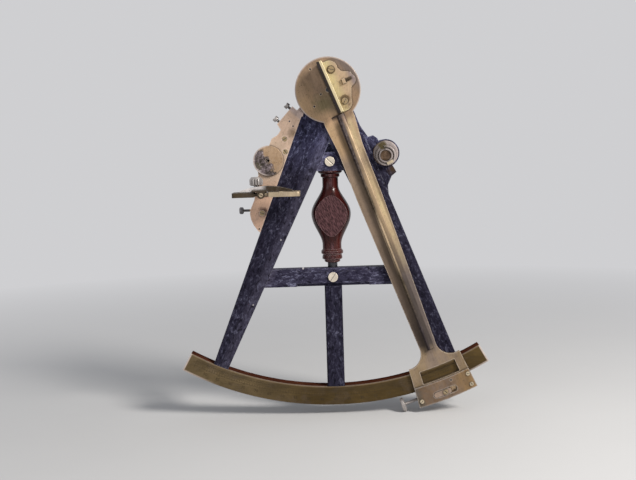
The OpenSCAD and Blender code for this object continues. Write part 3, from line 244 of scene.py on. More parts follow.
def mahogany():
    """Red-brown oiled wood, its grain running with the arc, lighter along the edges as a painted highlight.
    """
    g = Graph("mahogany_arc")
    along = g.coords((0.0, 0.0, 0.0), (0.08, 1.0, 1.0))
    grain = g.noise(along, 700.0, 5.0, 0.6)
    patches = g.noise(g.coords(), 45.0)
    edge = g.times(g.worn_edge(0.8 * MM), g.ramp(patches, 0.3, 0.6))
    tone = g.mix(g.ramp(grain, 0.3, 0.7), (0.018, 0.006, 0.004), (0.070, 0.022, 0.012))
    tone = g.mix(g.ramp(patches, 0.4, 0.75, 0.0, 0.5), tone, (0.120, 0.042, 0.022))
    # A painted highlight along the edges.
    tone = g.mix(g.times(edge, 0.9), tone, (0.300, 0.170, 0.110))
    g.surface(Base_Color=tone, Roughness=g.ramp(grain, 0.2, 0.8, 0.42, 0.58), Specular_IOR_Level=0.0)
    g.relief(grain, 0.3, 0.2 * MM)
    return g.material


def rosewood():
    """Black-red polished wood, with painted light making the low end paler and its ring edges bright; the
    flat on the front is bare, dull and open-grained.
    """
    g = Graph("rosewood_grip")
    along = g.coords((0.0, 0.0, 0.0), (1.0, 1.0, 0.07))
    grain = g.noise(along, 520.0, 6.0, 0.62)
    pores = g.noise(g.coords((0.0, radians(-28.0), 0.0), (1.0, 1.0, 0.16)), 1300.0, 3.0, 0.6, 0.4)
    bands = g.noise(along, 95.0, 3.0, 0.5, 0.6)
    sparks = g.noise(g.coords(), 700.0, 3.0, 0.7)
    facing = g.tree.nodes.new("ShaderNodeSeparateXYZ")
    g.put(facing.inputs["Vector"], g.place.outputs["Normal"])
    flat = g.ramp(facing.outputs["Y"], -0.97, -0.995)
    edge = g.worn_edge(0.9 * MM, 0.01, 0.10)
    low = g.ramp(g.along(PIVOT, (0.0, 0.0, 1.0)), -144 * MM, -158 * MM)
    polish = g.mix(g.ramp(grain, 0.3, 0.72), (0.006, 0.001, 0.0015), (0.037, 0.006, 0.005))
    polish = g.mix(g.ramp(bands, 0.4, 0.7, 0.0, 0.6), polish, (0.070, 0.013, 0.010))
    # Painted light: the low neck is speckled paler and its ring edges brighter, as if lit.
    wear_and_sheen = g.mix(g.ramp(sparks, 0.42, 0.62), (0.030, 0.007, 0.007), (0.190, 0.080, 0.070))
    polish = g.mix(g.times(low, 0.22), polish, wear_and_sheen)
    polish = g.mix(g.times(edge, g.ramp(low, 0.0, 1.0, 0.05, 0.9)), polish, (0.430, 0.310, 0.310))
    bare = g.mix(g.ramp(pores, 0.40, 0.62), (0.014, 0.005, 0.006), (0.112, 0.052, 0.056))
    bare = g.mix(g.ramp(bands, 0.35, 0.7, 0.0, 0.35), bare, (0.060, 0.024, 0.027))
    bare = g.mix(edge, bare, (0.270, 0.190, 0.180))
    g.surface(Base_Color=g.mix(flat, polish, bare), Specular_IOR_Level=0.12)
    g.surface(Roughness=g.ramp(flat, 0.0, 1.0, 0.22, 0.62), Coat_Weight=g.ramp(flat, 0.0, 1.0, 0.20, 0.0))
    g.surface(Coat_Roughness=0.12)
    g.relief(g.times(pores, flat), 0.35, 0.25 * MM)
    return g.material


# Metal

# Dark brown for tarnish and grime, and for painted shade in crevices.
GRIME_AND_SHADE = (0.040, 0.029, 0.018)
BLOOM = rgb(126, 114, 116)


def brass(name, tone, lean=0.0, mottle=0.25, tarnish=0.3, gloss=0.38, metal=0.6, bloom=0.25, rub_and_glint=0.5,
          wear=0.8, paint=None):
    """Aged brass: drawn streaks along a lean from upright, tarnish, dark specks, grey bloom, grime with
    painted shade in the crevices, and rubbed edges lightened as a painted highlight.

    paint, where it is given, takes the graph and the plain tone and lays a piece's own stains, painted light
    and painted shade on it.
    """
    g = Graph(name)
    turn = (0.0, lean, 0.0)
    open_place = g.coords(turn)
    streaks = g.noise(g.coords(turn, (1.0, 1.0, 0.03)), 1500.0, 4.0, 0.6)
    cloud = g.noise(g.coords(turn, (1.0, 1.0, 0.45)), 60.0, 6.0, 0.62, 0.4)
    fine = g.noise(open_place, 420.0, 5.0, 0.6)
    veil = g.noise(g.coords(turn, (1.0, 1.0, 0.6)), 95.0, 5.0, 0.65, 0.8)
    specks = g.times(g.ramp(g.cells(open_place, 330.0), 0.18, 0.07), g.ramp(cloud, 0.40, 0.58))
    # Grime with painted shade, darkest deep in crevices and round screw heads.
    crevice_grime_and_shade = g.crevice(1.8 * MM, 0.90, 0.55)
    edge = g.times(g.worn_edge(wear * MM, 0.005, 0.06), g.ramp(fine, 0.30, 0.55))
    wear_and_sheen = [0.85 * c + 0.26 for c in tone]
    tone = paint(g, tone) if paint else tone
    tone = g.mix(1.0, tone, g.ramp(cloud, 0.30, 0.70, 1.0 + mottle, 1.0 - mottle), "MULTIPLY")
    tone = g.mix(g.ramp(veil, 0.50, 0.72, 0.0, bloom), tone, BLOOM)
    tone = g.mix(1.0, tone, g.ramp(streaks, 0.35, 0.65, 1.06, 0.90), "MULTIPLY")
    tone = g.mix(g.ramp(fine, 0.52, 0.74, 0.0, tarnish), tone, GRIME_AND_SHADE)
    tone = g.mix(g.times(specks, 0.75), tone, GRIME_AND_SHADE)
    tone = g.mix(g.times(crevice_grime_and_shade, 0.85), tone, GRIME_AND_SHADE)
    # Rubbed edges, lightened further as a painted highlight.
    tone = g.mix(g.times(edge, rub_and_glint), tone, wear_and_sheen)
    g.surface(Base_Color=tone, Specular_IOR_Level=0.25)
    g.surface(Metallic=g.ramp(g.math("ADD", specks, g.times(crevice_grime_and_shade, 0.6)), 0.0, 1.0, metal, 0.3))
    rough = g.ramp(cloud, 0.3, 0.7, gloss, gloss + 0.16)
    g.surface(Roughness=g.math("ADD", rough, g.ramp(streaks, 0.3, 0.7, -0.05, 0.06)))
    g.relief(g.math("ADD", g.times(streaks, 0.6), fine), 0.2, 0.12 * MM)
    return g.material


PALE_BRASS = rgb(186, 160, 128)
YELLOW_BRASS = rgb(210, 190, 146)
TAN_BRASS = rgb(182, 152, 118)
BROWN_BRASS = rgb(142, 122, 103)
GREY_BRASS = rgb(112, 100, 94)
DARK_BRASS = rgb(76, 65, 57)


def paint_arm(g, tone):
    """Pale to grey down the right of the ridge, tan to dark down its left, stained head and end plate, with a
    painted highlight right of the ridge, painted shade on its flanks, and painted light lifting the mirror's
    shadow on the head.
    """
    reach = g.along(PIVOT, ARM_DOWN)
    side = g.along(PIVOT, ARM_ACROSS)
    patch = g.noise(g.coords((0.0, -ARM_ANGLE, 0.0), (1.0, 1.0, 0.35)), 75.0, 5.0, 0.6, 0.5)
    upper = g.ramp(reach, 76 * MM, 62 * MM)
    # A painted highlight: a yellow glint along the flat just right of the ridge.
    glint_band = g.times(g.ramp(side, 5.5 * MM, 7.5 * MM), g.ramp(side, 12.0 * MM, 9.5 * MM))
    bright = g.mix(g.times(glint_band, g.ramp(patch, 0.40, 0.60, 0.9, 0.15)), PALE_BRASS, YELLOW_BRASS)
    bright = g.mix(g.ramp(reach, 150 * MM, 205 * MM), bright, GREY_BRASS)
    stain = g.times(g.ramp(reach, 64 * MM, 76 * MM), g.ramp(reach, 96 * MM, 80 * MM))
    bright = g.mix(g.times(stain, 0.7), bright, BROWN_BRASS)
    # Painted shade: the ridge's right flank is darkened to dull the highlight the light puts on it.
    flank_shade = g.ramp(reach, 60 * MM, 95 * MM, 0.24, 0.36)
    bright = g.mix(g.ramp(side, 7.0 * MM, 5.0 * MM), bright, g.mix(1.0, bright, flank_shade, "MULTIPLY"))
    margin = g.times(g.ramp(reach, 62 * MM, 74 * MM), g.ramp(reach, 175 * MM, 150 * MM))
    margin = g.times(margin, g.ramp(side, 9.3 * MM, 11.0 * MM, 0.0, 0.45))
    bright = g.mix(margin, bright, GRIME_AND_SHADE)
    rim = g.mix(upper, g.mix(g.ramp(reach, 95 * MM, 255 * MM), BROWN_BRASS, DARK_BRASS), TAN_BRASS)
    # The left flank by the crest is darkened with grime and painted shade, most near the head.
    cove_grime_and_shade = g.mix(1.0, rim, g.ramp(reach, 95 * MM, 235 * MM, 0.42, 0.92), "MULTIPLY")
    dim = g.mix(g.ramp(side, -9.0 * MM, -4.5 * MM), rim, cove_grime_and_shade)
    tone = g.mix(g.ramp(side, -0.4 * MM, 0.4 * MM), dim, bright)
    head = g.mix(g.ramp(patch, 0.35, 0.65), rgb(156, 130, 106), rgb(132, 110, 88))
    lean = g.along(PIVOT, (0.75, 0.0, 0.66))
    # Painted light: the head's lower left is painted lighter to lift the shadow the mirror casts there.
    head = g.mix(g.ramp(lean, -8 * MM, -22 * MM, 0.0, 0.85), head, TAN_BRASS)
    head = g.mix(g.ramp(lean, 19 * MM, 28 * MM, 0.0, 0.9), head, GREY_BRASS)
    head = g.mix(g.near(from_pivot(-4.0, -14.0), 4 * MM, 15 * MM, 3 * MM), head, rgb(130, 115, 86))
    # The patch below the pivot is painted lighter, partly its warm tone and partly painted light in the
    # mirror's shadow.
    head = g.mix(g.near(from_pivot(0.0, -31.0), 3 * MM, 13 * MM, 2 * MM), head, rgb(192, 158, 124))
    off_rim = g.math("ABSOLUTE", g.math("SUBTRACT", g.span(PIVOT), 32.5 * MM))
    on_arm = g.times(g.ramp(reach, 16 * MM, 22 * MM), g.ramp(g.math("ABSOLUTE", side), 17 * MM, 14 * MM))
    bead = g.times(g.ramp(off_rim, 1.0 * MM, 0.3 * MM, 0.0, 0.85), g.math("SUBTRACT", 1.0, on_arm))
    head = g.mix(bead, head, rgb(176, 160, 154))
    tone = g.mix(g.near(PIVOT, 33 * MM, 38 * MM), tone, head)
    plate = g.mix(g.ramp(patch, 0.38, 0.62), rgb(150, 129, 101), rgb(135, 118, 104))
    return g.mix(g.ramp(reach, 277 * MM, 289 * MM), tone, plate)


def paint_ridge(g, tone):
    """The arm's own tones, with a speckled dark line on the crest that carries a painted highlight in the
    arm's middle, and painted shade where the ridge leaves the head.
    """
    tone = paint_arm(g, tone)
    side = g.along(PIVOT, ARM_ACROSS)
    speckle = g.noise(g.coords(), 330.0, 3.0, 0.6)
    reach = g.along(PIVOT, ARM_DOWN)
    crest = g.mix(g.ramp(speckle, 0.38, 0.62), rgb(46, 38, 36), rgb(78, 70, 70))
    olive = g.mix(g.ramp(speckle, 0.38, 0.62), rgb(64, 55, 42), rgb(92, 80, 66))
    crest = g.mix(g.ramp(reach, 70 * MM, 110 * MM), crest, olive)
    # A painted highlight on the crest in the arm's middle.
    crest_highlight = g.times(g.ramp(reach, 128 * MM, 148 * MM), g.ramp(reach, 205 * MM, 180 * MM))
    crest = g.mix(g.times(crest_highlight, 0.8), crest, rgb(182, 160, 132))
    crest = g.mix(g.ramp(reach, 215 * MM, 260 * MM), crest, rgb(62, 54, 54))
    crest = g.mix(g.ramp(reach, 31 * MM, 28.5 * MM), crest, rgb(60, 50, 48))
    # Painted shade at the ridge's root, to dull the highlight the light puts there.
    shaded = g.times(g.ramp(reach, 44 * MM, 34 * MM), g.ramp(side, -0.5 * MM, 0.5 * MM))
    tone = g.mix(shaded, tone, rgb(92, 76, 64))
    tone = g.mix(g.ramp(reach, 32 * MM, 28.0 * MM), tone, rgb(62, 52, 48))
    width = g.ramp(reach, 45 * MM, 95 * MM, 2.9 * MM, 1.5 * MM)
    on_crest = g.times(g.ramp(side, -2.2 * MM, -1.4 * MM), g.math("LESS_THAN", side, width))
    return g.mix(on_crest, tone, crest)


def paint_side_plate(g, tone):
    """Grey tarnish at the top edge and round the turntable, a warmer low end, and brown stains."""
    rise = g.along(PIVOT, (0.0, 0.0, 1.0))
    top_edge = g.along(from_pivot(-31.4, -19.3), (0.671, 0.0, 0.741))
    tone = g.mix(g.ramp(top_edge, -6.5 * MM, -3.5 * MM, 0.0, 0.7), tone, rgb(182, 166, 162))
    tone = g.mix(g.ramp(rise, -80 * MM, -108 * MM, 0.0, 0.8), tone, rgb(208, 171, 146))
    tone = g.mix(g.times(g.near(TABLE, 16 * MM, 27 * MM, 4 * MM), 0.4), tone, rgb(188, 172, 152))
    tone = g.mix(g.near(from_pivot(-68.3, -121.2), 3.0 * MM, 6.5 * MM, 1.2 * MM), tone, rgb(105, 80, 68))
    stain = g.times(g.near(from_pivot(-36.5, -42.0), 1.5 * MM, 6.5 * MM, 1.5 * MM), 0.75)
    return g.mix(stain, tone, rgb(128, 106, 82))


TABLE_SPLIT = Vector((-0.809, 0.0, -0.588))


def paint_turntable(g, tone):
    """Warm brass on the upper right, a grey mottled tone on the lower left with a pale rubbed rim."""
    ragged = g.ramp(g.noise(g.coords(), 190.0), 0.3, 0.7, -4 * MM, 4 * MM)
    side = g.math("ADD", g.along(TABLE, TABLE_SPLIT), ragged)
    mottle = g.noise(g.coords(), 300.0, 4.0, 0.7)
    tone = g.mix(g.ramp(mottle, 0.50, 0.70, 0.0, 0.6), tone, rgb(150, 120, 84))
    grey = g.mix(g.ramp(mottle, 0.40, 0.60), rgb(56, 50, 44), rgb(128, 115, 118))
    grey = g.mix(g.ramp(g.noise(g.coords(), 120.0), 0.50, 0.62, 0.0, 0.7), grey, rgb(92, 86, 66))
    grey = g.mix(g.ramp(mottle, 0.60, 0.70), grey, rgb(204, 192, 190))
    tone = g.mix(g.ramp(side, -1.5 * MM, 1.5 * MM), tone, grey)
    left = g.ramp(g.along(TABLE, (1.0, 0.0, 0.0)), 2 * MM, -4 * MM)
    rim = g.times(g.ramp(g.span(TABLE), 13.6 * MM, 14.4 * MM), left)
    return g.mix(g.times(rim, 0.8), tone, rgb(206, 192, 184))


def paint_socket(g, tone):
    """A tan mottled floor inside the bore and an olive stain in the keyway, behind the bright rings, with
    painted light making the right side lighter and the left darker.
    """
    depth = g.along(PIVOT, (0.0, 1.0, 0.0))
    mottle = g.noise(g.coords(), 260.0, 4.0, 0.6)
    floor = g.mix(g.ramp(mottle, 0.4, 0.6), rgb(150, 124, 102), rgb(112, 88, 66))
    side = g.along(from_pivot(56.5, -62.0), (1.0, 0.0, 0.0))
    # Painted light and shade: darker on the left, lighter on the right, as the light falls from the right.
    tone = g.mix(1.0, tone, g.ramp(side, -10 * MM, 9 * MM, 0.42, 1.5), "MULTIPLY")
    tone = g.mix(g.ramp(depth, -3.0 * MM, -0.5 * MM), tone, floor)
    return g.mix(g.near(from_pivot(53.2, -57.0), 3.0 * MM, 5.5 * MM, 0.8 * MM), tone, rgb(96, 84, 52))


ARC_END = radians(29.3)


def paint_arc(g, tone):
    """Lighter and pinker to the left, browner blotches, and the pale outline of each end, rubbed and
    lightened further as a painted highlight.
    """
    side = g.along(PIVOT, (1.0, 0.0, 0.0))
    tone = g.mix(g.ramp(side, -85 * MM, -28 * MM), rgb(104, 88, 62), rgb(79, 63, 35))
    blotch = g.noise(g.coords((0.0, 0.0, 0.0), (0.5, 1.0, 1.0)), 110.0, 5.0, 0.65, 0.6)
    tone = g.mix(1.0, tone, g.ramp(blotch, 0.36, 0.64, 1.12, 0.86), "MULTIPLY")
    reach = g.span(PIVOT)
    pale = g.times(g.ramp(reach, 304.3 * MM, 303.5 * MM), 0.35)
    tone = g.mix(pale, tone, rgb(150, 126, 100))
    # Each end's outline and the outer edge near it are rubbed, and lightened as a painted highlight.
    for way in (-1.0, 1.0):
        off_end = g.math("ABSOLUTE", g.along(PIVOT, (way * cos(ARC_END), 0.0, sin(ARC_END))))
        low = g.times(g.ramp(reach, 320.2 * MM, 321.0 * MM), g.ramp(off_end, 40 * MM, 14 * MM, 0.0, 0.7))
        rim = g.math("MAXIMUM", g.ramp(off_end, 1.7 * MM, 0.9 * MM), low)
        tone = g.mix(g.times(rim, 0.9), tone, rgb(205, 190, 180))
    return tone


def paint_cover(g, tone):
    """Pinkish tan on the left, gold on the right and a grey strip at the left end."""
    side = g.along(PIVOT, ARM_ACROSS)
    blotch = g.noise(g.coords(), 160.0, 4.0, 0.6, 0.5)
    tone = g.mix(g.ramp(blotch, 0.42, 0.60, 0.0, 0.7), tone, rgb(132, 106, 82))
    tone = g.mix(g.ramp(side, 10 * MM, 20 * MM, 0.0, 0.8), tone, rgb(146, 118, 82))
    return g.mix(g.ramp(side, -22 * MM, -27 * MM, 0.0, 0.8), tone, rgb(94, 88, 76))


def paint_slider(g, tone):
    """A pinkish rubbed tongue in the cover's slot, and the face of the block behind it painted bright, a
    painted light that lifts the slot's shadow.
    """
    depth = g.along(PIVOT, (0.0, 1.0, 0.0))
    # Painted light: the block's face deep in the slot is painted bright to lift the slot's shadow.
    tone = g.mix(g.ramp(depth, 0.3 * MM, -0.3 * MM), tone, rgb(226, 198, 160))
    return g.mix(g.ramp(depth, -2.2 * MM, -3.0 * MM), tone, rgb(158, 137, 121))


def paint_lever_screw(g, tone):
    """A grey knob on a tan rod, both painted pale as a painted light that lifts the shadow behind the ear."""
    side = g.along(from_pivot(-84.2, 0.0), (1.0, 0.0, 0.0))
    return g.mix(g.ramp(side, -0.3 * MM, 0.3 * MM), rgb(112, 110, 114), tone)


MIRROR_ANGLE = radians(22.4)
MIRROR_NORMAL = Vector((cos(MIRROR_ANGLE), 0.0, sin(MIRROR_ANGLE)))


def paint_clip(g, tone):
    """Cream over the mirror's back plate, and nearly black over its glass, the glass's dark edge deepened
    with painted shade.
    """
    across = g.along(PIVOT, MIRROR_NORMAL)
    return g.mix(g.ramp(across, 2.0 * MM, 1.6 * MM), tone, rgb(46, 40, 38))


def paint_saddle(g, tone):
    """Silvery to the left of the nut, dark olive to the right."""
    side = g.along(from_pivot(-66.0, -98.0), (1.0, 0.0, 0.0))
    return g.mix(g.ramp(side, -4.0 * MM, 3.0 * MM), tone, rgb(62, 52, 38))


def paint_foot(g, tone):
    """Yellow along the mirror's side, pinker to the right, grey at the tongue, and painted shade round the
    two screws.
    """
    across = g.along(PIVOT, MIRROR_NORMAL)
    tone = g.mix(g.ramp(across, 9.0 * MM, 16.0 * MM, 0.0, 0.8), tone, rgb(176, 150, 128))
    tone = g.mix(g.ramp(across, 22.0 * MM, 27.0 * MM, 0.0, 0.85), tone, rgb(125, 112, 114))
    speckle = g.noise(g.coords(), 420.0, 4.0, 0.7)
    lobe = g.near(from_pivot(18.0, -12.0), 5.0 * MM, 10.0 * MM, 1.0 * MM)
    tone = g.mix(g.times(lobe, g.ramp(speckle, 0.40, 0.60, 0.3, 0.9)), tone, rgb(128, 106, 82))
    # Painted shade round the two screw heads.
    for place in (from_pivot(3.4, 19.6), from_pivot(17.0, -10.0)):
        tone = g.mix(g.times(g.near(place, 4.0 * MM, 5.0 * MM, 0.5 * MM), 0.85), tone, rgb(92, 74, 50))
    return tone


def steel(name, light, dark):
    """Darkened steel with a little rubbed bright metal on the edges."""
    g = Graph(name)
    place = g.coords()
    cloud = g.noise(place, 180.0, 5.0, 0.6)
    edge = g.times(g.worn_edge(0.5 * MM), g.ramp(g.noise(place, 500.0), 0.35, 0.6))
    tone = g.mix(g.ramp(cloud, 0.35, 0.65), dark, light)
    tone = g.mix(edge, tone, (0.42, 0.41, 0.42))
    g.surface(Base_Color=tone, Metallic=0.8, Roughness=g.ramp(cloud, 0.3, 0.7, 0.3, 0.48))
    g.relief(cloud, 0.12, 0.1 * MM)
    return g.material


# Glass

def silvered_glass():
    """Old mirror glass, a little clouded at the silvering."""
    g = Graph("silvered_glass")
    cloud = g.noise(g.coords(), 70.0, 6.0, 0.65)
    tone = g.mix(g.ramp(cloud, 0.58, 0.78), (0.80, 0.83, 0.84), (0.42, 0.44, 0.42))
    g.surface(Base_Color=tone, Metallic=1.0, Roughness=g.ramp(cloud, 0.5, 0.8, 0.04, 0.22))
    return g.material


def shade_glass(name, tint):
    """Coloured glass with faint streaks."""
    g = Graph(name)
    streak = g.noise(g.coords((0.0, 0.0, 0.6), (1.0, 0.2, 1.0)), 160.0)
    tone = g.mix(g.ramp(streak, 0.3, 0.7), tint, [0.7 * c for c in tint])
    g.surface(Base_Color=tone, Roughness=g.ramp(streak, 0.3, 0.7, 0.05, 0.1))
    g.surface(Transmission_Weight=0.85, IOR=1.5)
    return g.material


# Which node gets which finish

FINISHES = {
    "ebony_upright": (ebony("ebony_upright", 0.0, 0.8), ["centre_post", "rest_feet"]),
    "ebony_apex": (ebony("ebony_apex", 0.0, 0.75), ["apex_block"]),
    "ebony_left": (ebony("ebony_left", LIMB_LEAN, 0.75), ["left_limb", "left_ear"]),
    "ebony_right": (ebony("ebony_right", -LIMB_LEAN, 0.75, 1.0, EAR_STAIN), ["right_limb", "right_ear"]),
    "ebony_level": (ebony("ebony_level", pi / 2, 1.3), ["upper_crossbar", "lower_crossbar"]),
    "mahogany": (mahogany(), ["arc_limb"]),
    "rosewood": (rosewood(), ["handle_grip"]),
    "arc_brass": (brass("arc_brass", rgb(88, 73, 48), pi / 2, gloss=0.46, bloom=0.15, rub_and_glint=0.35,
                        paint=paint_arc), ["scale_arc", "scale_arc_screws"]),
    "back_brass": (brass("back_brass", rgb(142, 122, 94), gloss=0.40),
                   ["pivot_bush", "pivot_back_plate", "back_plate_screws", "axle_nut", "sight_socket_nut",
                    "lever_bracket", "horizon_lever", "tangent_lugs", "clamp_jaw", "clamp_screw"]),
    "slider_brass": (brass("slider_brass", rgb(128, 108, 86), gloss=0.40, paint=paint_slider),
                     ["clamp_slider"]),
    "arm_brass": (brass("arm_brass", rgb(168, 142, 110), -ARM_ANGLE, tarnish=0.25, bloom=0.15, rub_and_glint=0.9,
                        wear=1.5, paint=paint_arm), ["index_arm"]),
    "ridge_brass": (brass("ridge_brass", rgb(150, 126, 96), -ARM_ANGLE, tarnish=0.25, bloom=0.15, rub_and_glint=0.0,
                          paint=paint_ridge), ["arm_ridge"]),
    "foot_brass": (brass("foot_brass", rgb(192, 178, 138), tarnish=0.2, bloom=0.2, paint=paint_foot),
                   ["mirror_foot"]),
    "clip_brass": (brass("clip_brass", rgb(208, 192, 154), tarnish=0.1, bloom=0.1, rub_and_glint=0.0, paint=paint_clip),
                   ["mirror_clip", "mirror_back_plate"]),
    "cream_brass": (brass("cream_brass", rgb(176, 158, 132), tarnish=0.2, bloom=0.2, rub_and_glint=0.3),
                    ["shade_frame_right", "shade_pin"]),
    "side_brass": (brass("side_brass", rgb(210, 181, 158), LIMB_LEAN, rub_and_glint=0.8, mottle=0.2, tarnish=0.25,
                         gloss=0.42, wear=1.6, paint=paint_side_plate), ["horizon_plate"]),
    "table_brass": (brass("table_brass", rgb(176, 148, 120), mottle=0.18, tarnish=0.25, gloss=0.42,
                          paint=paint_turntable), ["horizon_disc", "horizon_axle"]),
    "cover_brass": (brass("cover_brass", rgb(124, 105, 88), -ARM_ANGLE, gloss=0.40, rub_and_glint=1.0, wear=2.0,
                          paint=paint_cover), ["tangent_cover"]),
    "vernier_brass": (brass("vernier_brass", rgb(105, 86, 55), pi / 2, rub_and_glint=0.25), ["vernier"]),
    "screw_brass": (brass("screw_brass", rgb(196, 180, 152), tarnish=0.25, gloss=0.30),
                    ["tangent_cover_screws", "sight_lug_screw"]),
    "pale_screw_brass": (brass("pale_screw_brass", rgb(220, 208, 190), tarnish=0.2, gloss=0.30),
                         ["handle_screws"]),
    "brown_screw_brass": (brass("brown_screw_brass", rgb(158, 138, 104), tarnish=0.35, gloss=0.34),
                          ["mirror_foot_screws", "horizon_plate_screws", "slot_screw"]),
    "silver_brass": (brass("silver_brass", rgb(178, 171, 167), tarnish=0.3, gloss=0.26, metal=0.8),
                     ["shade_nut", "edge_screws", "shade_bracket_screws", "tangent_screw"]),
    "saddle_brass": (brass("saddle_brass", rgb(240, 233, 230), tarnish=0.15, gloss=0.32, metal=0.6, rub_and_glint=0.2,
                           paint=paint_saddle), ["shade_spring"]),
    "socket_brass": (brass("socket_brass", rgb(176, 163, 158), mottle=0.4, gloss=0.22, metal=0.85,
                           paint=paint_socket), ["sight_socket"]),
    "dull_brass": (brass("dull_brass", rgb(70, 59, 44), pi / 2, gloss=0.42, bloom=0.15, rub_and_glint=0.2),
                   ["shade_frame_left", "shade_bracket", "mirror_adjust_screw"]),
    # The lever screw's tones are painted pale, a painted light that lifts the shadow behind the ear.
    "lever_brass": (brass("lever_brass", rgb(214, 184, 146), gloss=0.34, paint=paint_lever_screw),
                    ["lever_screw"]),
    "dark_steel": (steel("dark_steel", (0.095, 0.095, 0.105), (0.035, 0.035, 0.04)),
                   ["handle_rod", "handle_collar", "lever_nut", "index_axle"]),
    "bright_steel": (steel("bright_steel", (0.42, 0.40, 0.40), (0.20, 0.19, 0.19)), ["shade_stud"]),
    "mirror": (silvered_glass(), ["index_mirror"]),
    "green_glass": (shade_glass("green_glass", (0.10, 0.30, 0.12)), ["shade_glass_left"]),
    "red_glass": (shade_glass("red_glass", (0.50, 0.04, 0.03)), ["shade_glass_right"]),
}
WOODEN = ("ebony_upright", "ebony_apex", "ebony_left", "ebony_right", "ebony_level", "mahogany", "rosewood")


WOOD_EDGE = 0.45 * MM
METAL_EDGE = 0.2 * MM


def soften_edges(obj, width):
    """Rounds a node's sharp edges a little, as handling has."""
    weld = obj.modifiers.new("weld", "WELD")
    weld.merge_threshold = 1e-6
    planar = obj.modifiers.new("planar", "DECIMATE")
    planar.decimate_type = "DISSOLVE"
    planar.angle_limit = radians(0.3)
    bevel = obj.modifiers.new("bevel", "BEVEL")
    bevel.width = width
    bevel.segments = 2
    bevel.limit_method = "ANGLE"
    bevel.angle_limit = radians(35.0)
    bevel.harden_normals = False


def dress_nodes():
    for finish, (material, nodes) in FINISHES.items():
        for name in nodes:
            obj = frame["nodes"][name]
            obj.data.materials.clear()
            obj.data.materials.append(material)
            soften_edges(obj, WOOD_EDGE if finish in WOODEN else METAL_EDGE)


dress_nodes()


# Engraved marks on the scale and the vernier

ZERO_ANGLE = ARM_ANGLE
PER_DEGREE = 3
FIRST_READING = -5
LAST_READING = 95
LAST_NUMBER = 90
NUMBER_STEP = 5
SCALE_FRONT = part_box("scale_arc")[0].y
MARK_PROUD = 0.02 * MM
MARK_SUNK = 0.06 * MM
MARK_WIDTH = 0.22 * MM
ARC_LINES = (306.8 * MM, 311.8 * MM)
TICK_TOP = 304.4 * MM
SHORT_TICK = 309.6 * MM
DEGREE_TICK = 311.8 * MM
NUMBER_TICK = 313.2 * MM
NUMBER_RADIUS = 316.2 * MM
NUMBER_HEIGHT = 2.9 * MM
CAPITAL_SHARE = 0.7


def arc_place(radius, angle, y):
    """A point at a radius from the pivot and an angle from straight down, positive to the right."""
    return Vector((PIVOT.x + radius * sin(angle), y, PIVOT.z - radius * cos(angle)))


def add_strip(bm, radii, angles, steps, front):
    """A thin closed strip between two radii and two angles; front gives the surface's y at a radius."""
    inner, outer = radii
    corners = ((inner, -MARK_PROUD), (outer, -MARK_PROUD), (outer, MARK_SUNK), (inner, MARK_SUNK))
    section = [(radius, front(radius) + depth) for radius, depth in corners]
    rows = []
    for i in range(steps + 1):
        angle = angles[0] + (angles[1] - angles[0]) * i / steps
        rows.append([bm.verts.new(arc_place(radius, angle, y)) for radius, y in section])
    for row, after in zip(rows, rows[1:]):
        for j in range(4):
            bm.faces.new((row[j], row[(j + 1) % 4], after[(j + 1) % 4], after[j]))
    bm.faces.new(rows[0])
    bm.faces.new(rows[-1])


def add_tick(bm, radii, angle, front):
    half = 0.5 * MARK_WIDTH / radii[1]
    add_strip(bm, radii, (angle - half, angle + half), 1, front)


def add_number(bm, text, angle, radius, height):
    """A plain number, upright towards the pivot, sunk into the scale's face."""
    curve = bpy.data.curves.new("number", "FONT")
    curve.body = text
    curve.size = height / CAPITAL_SHARE
    curve.align_x = "CENTER"
    curve.align_y = "CENTER"
    curve.extrude = 0.5 * (MARK_PROUD + MARK_SUNK)
    curve.resolution_u = 4
    holder = bpy.data.objects.new("number", curve)
    mesh = holder.to_mesh()
    middle = arc_place(radius, angle, SCALE_FRONT + 0.5 * (MARK_SUNK - MARK_PROUD))
    across = Vector((cos(angle), 0.0, sin(angle)))
    inward = Vector((-sin(angle), 0.0, cos(angle)))
    toward = Vector((0.0, -1.0, 0.0))
    turn = Matrix((across, inward, toward)).transposed().to_4x4()
    mesh.transform(Matrix.Translation(middle) @ turn)
    bm.from_mesh(mesh)
    holder.to_mesh_clear()
    bpy.data.objects.remove(holder)
    bpy.data.curves.remove(curve)


def add_piece(name, bm, body, material):
    bmesh.ops.remove_doubles(bm, verts=bm.verts, dist=1e-8)
    bmesh.ops.recalc_face_normals(bm, faces=bm.faces)
    mesh = bpy.data.meshes.new(name)
    bm.to_mesh(mesh)
    bm.free()
    mesh.materials.append(material)
    piece = bpy.data.objects.new(name, mesh)
    bpy.context.scene.collection.objects.link(piece)
    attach(piece, body)


def engraving(name):
    """Old black filling in engraved lines, worn away in places."""
    g = Graph(name)
    wear_and_sheen = g.noise(g.coords(), 90.0, 5.0, 0.6)
    tone = g.mix(g.ramp(wear_and_sheen, 0.42, 0.62), rgb(46, 37, 24), rgb(70, 57, 36))
    g.surface(Base_Color=tone, Roughness=g.ramp(wear_and_sheen, 0.3, 0.7, 0.55, 0.7), Specular_IOR_Level=0.2)
    return g.material


def scale_front(radius):
    """The scale's face is flat, so its y is the same at each radius."""
    return SCALE_FRONT


def reading_angle(reading):
    """Where a reading stands on the arc: an octant's scale has two degrees to each degree of arc."""
    return ZERO_ANGLE - radians(reading / 2.0)


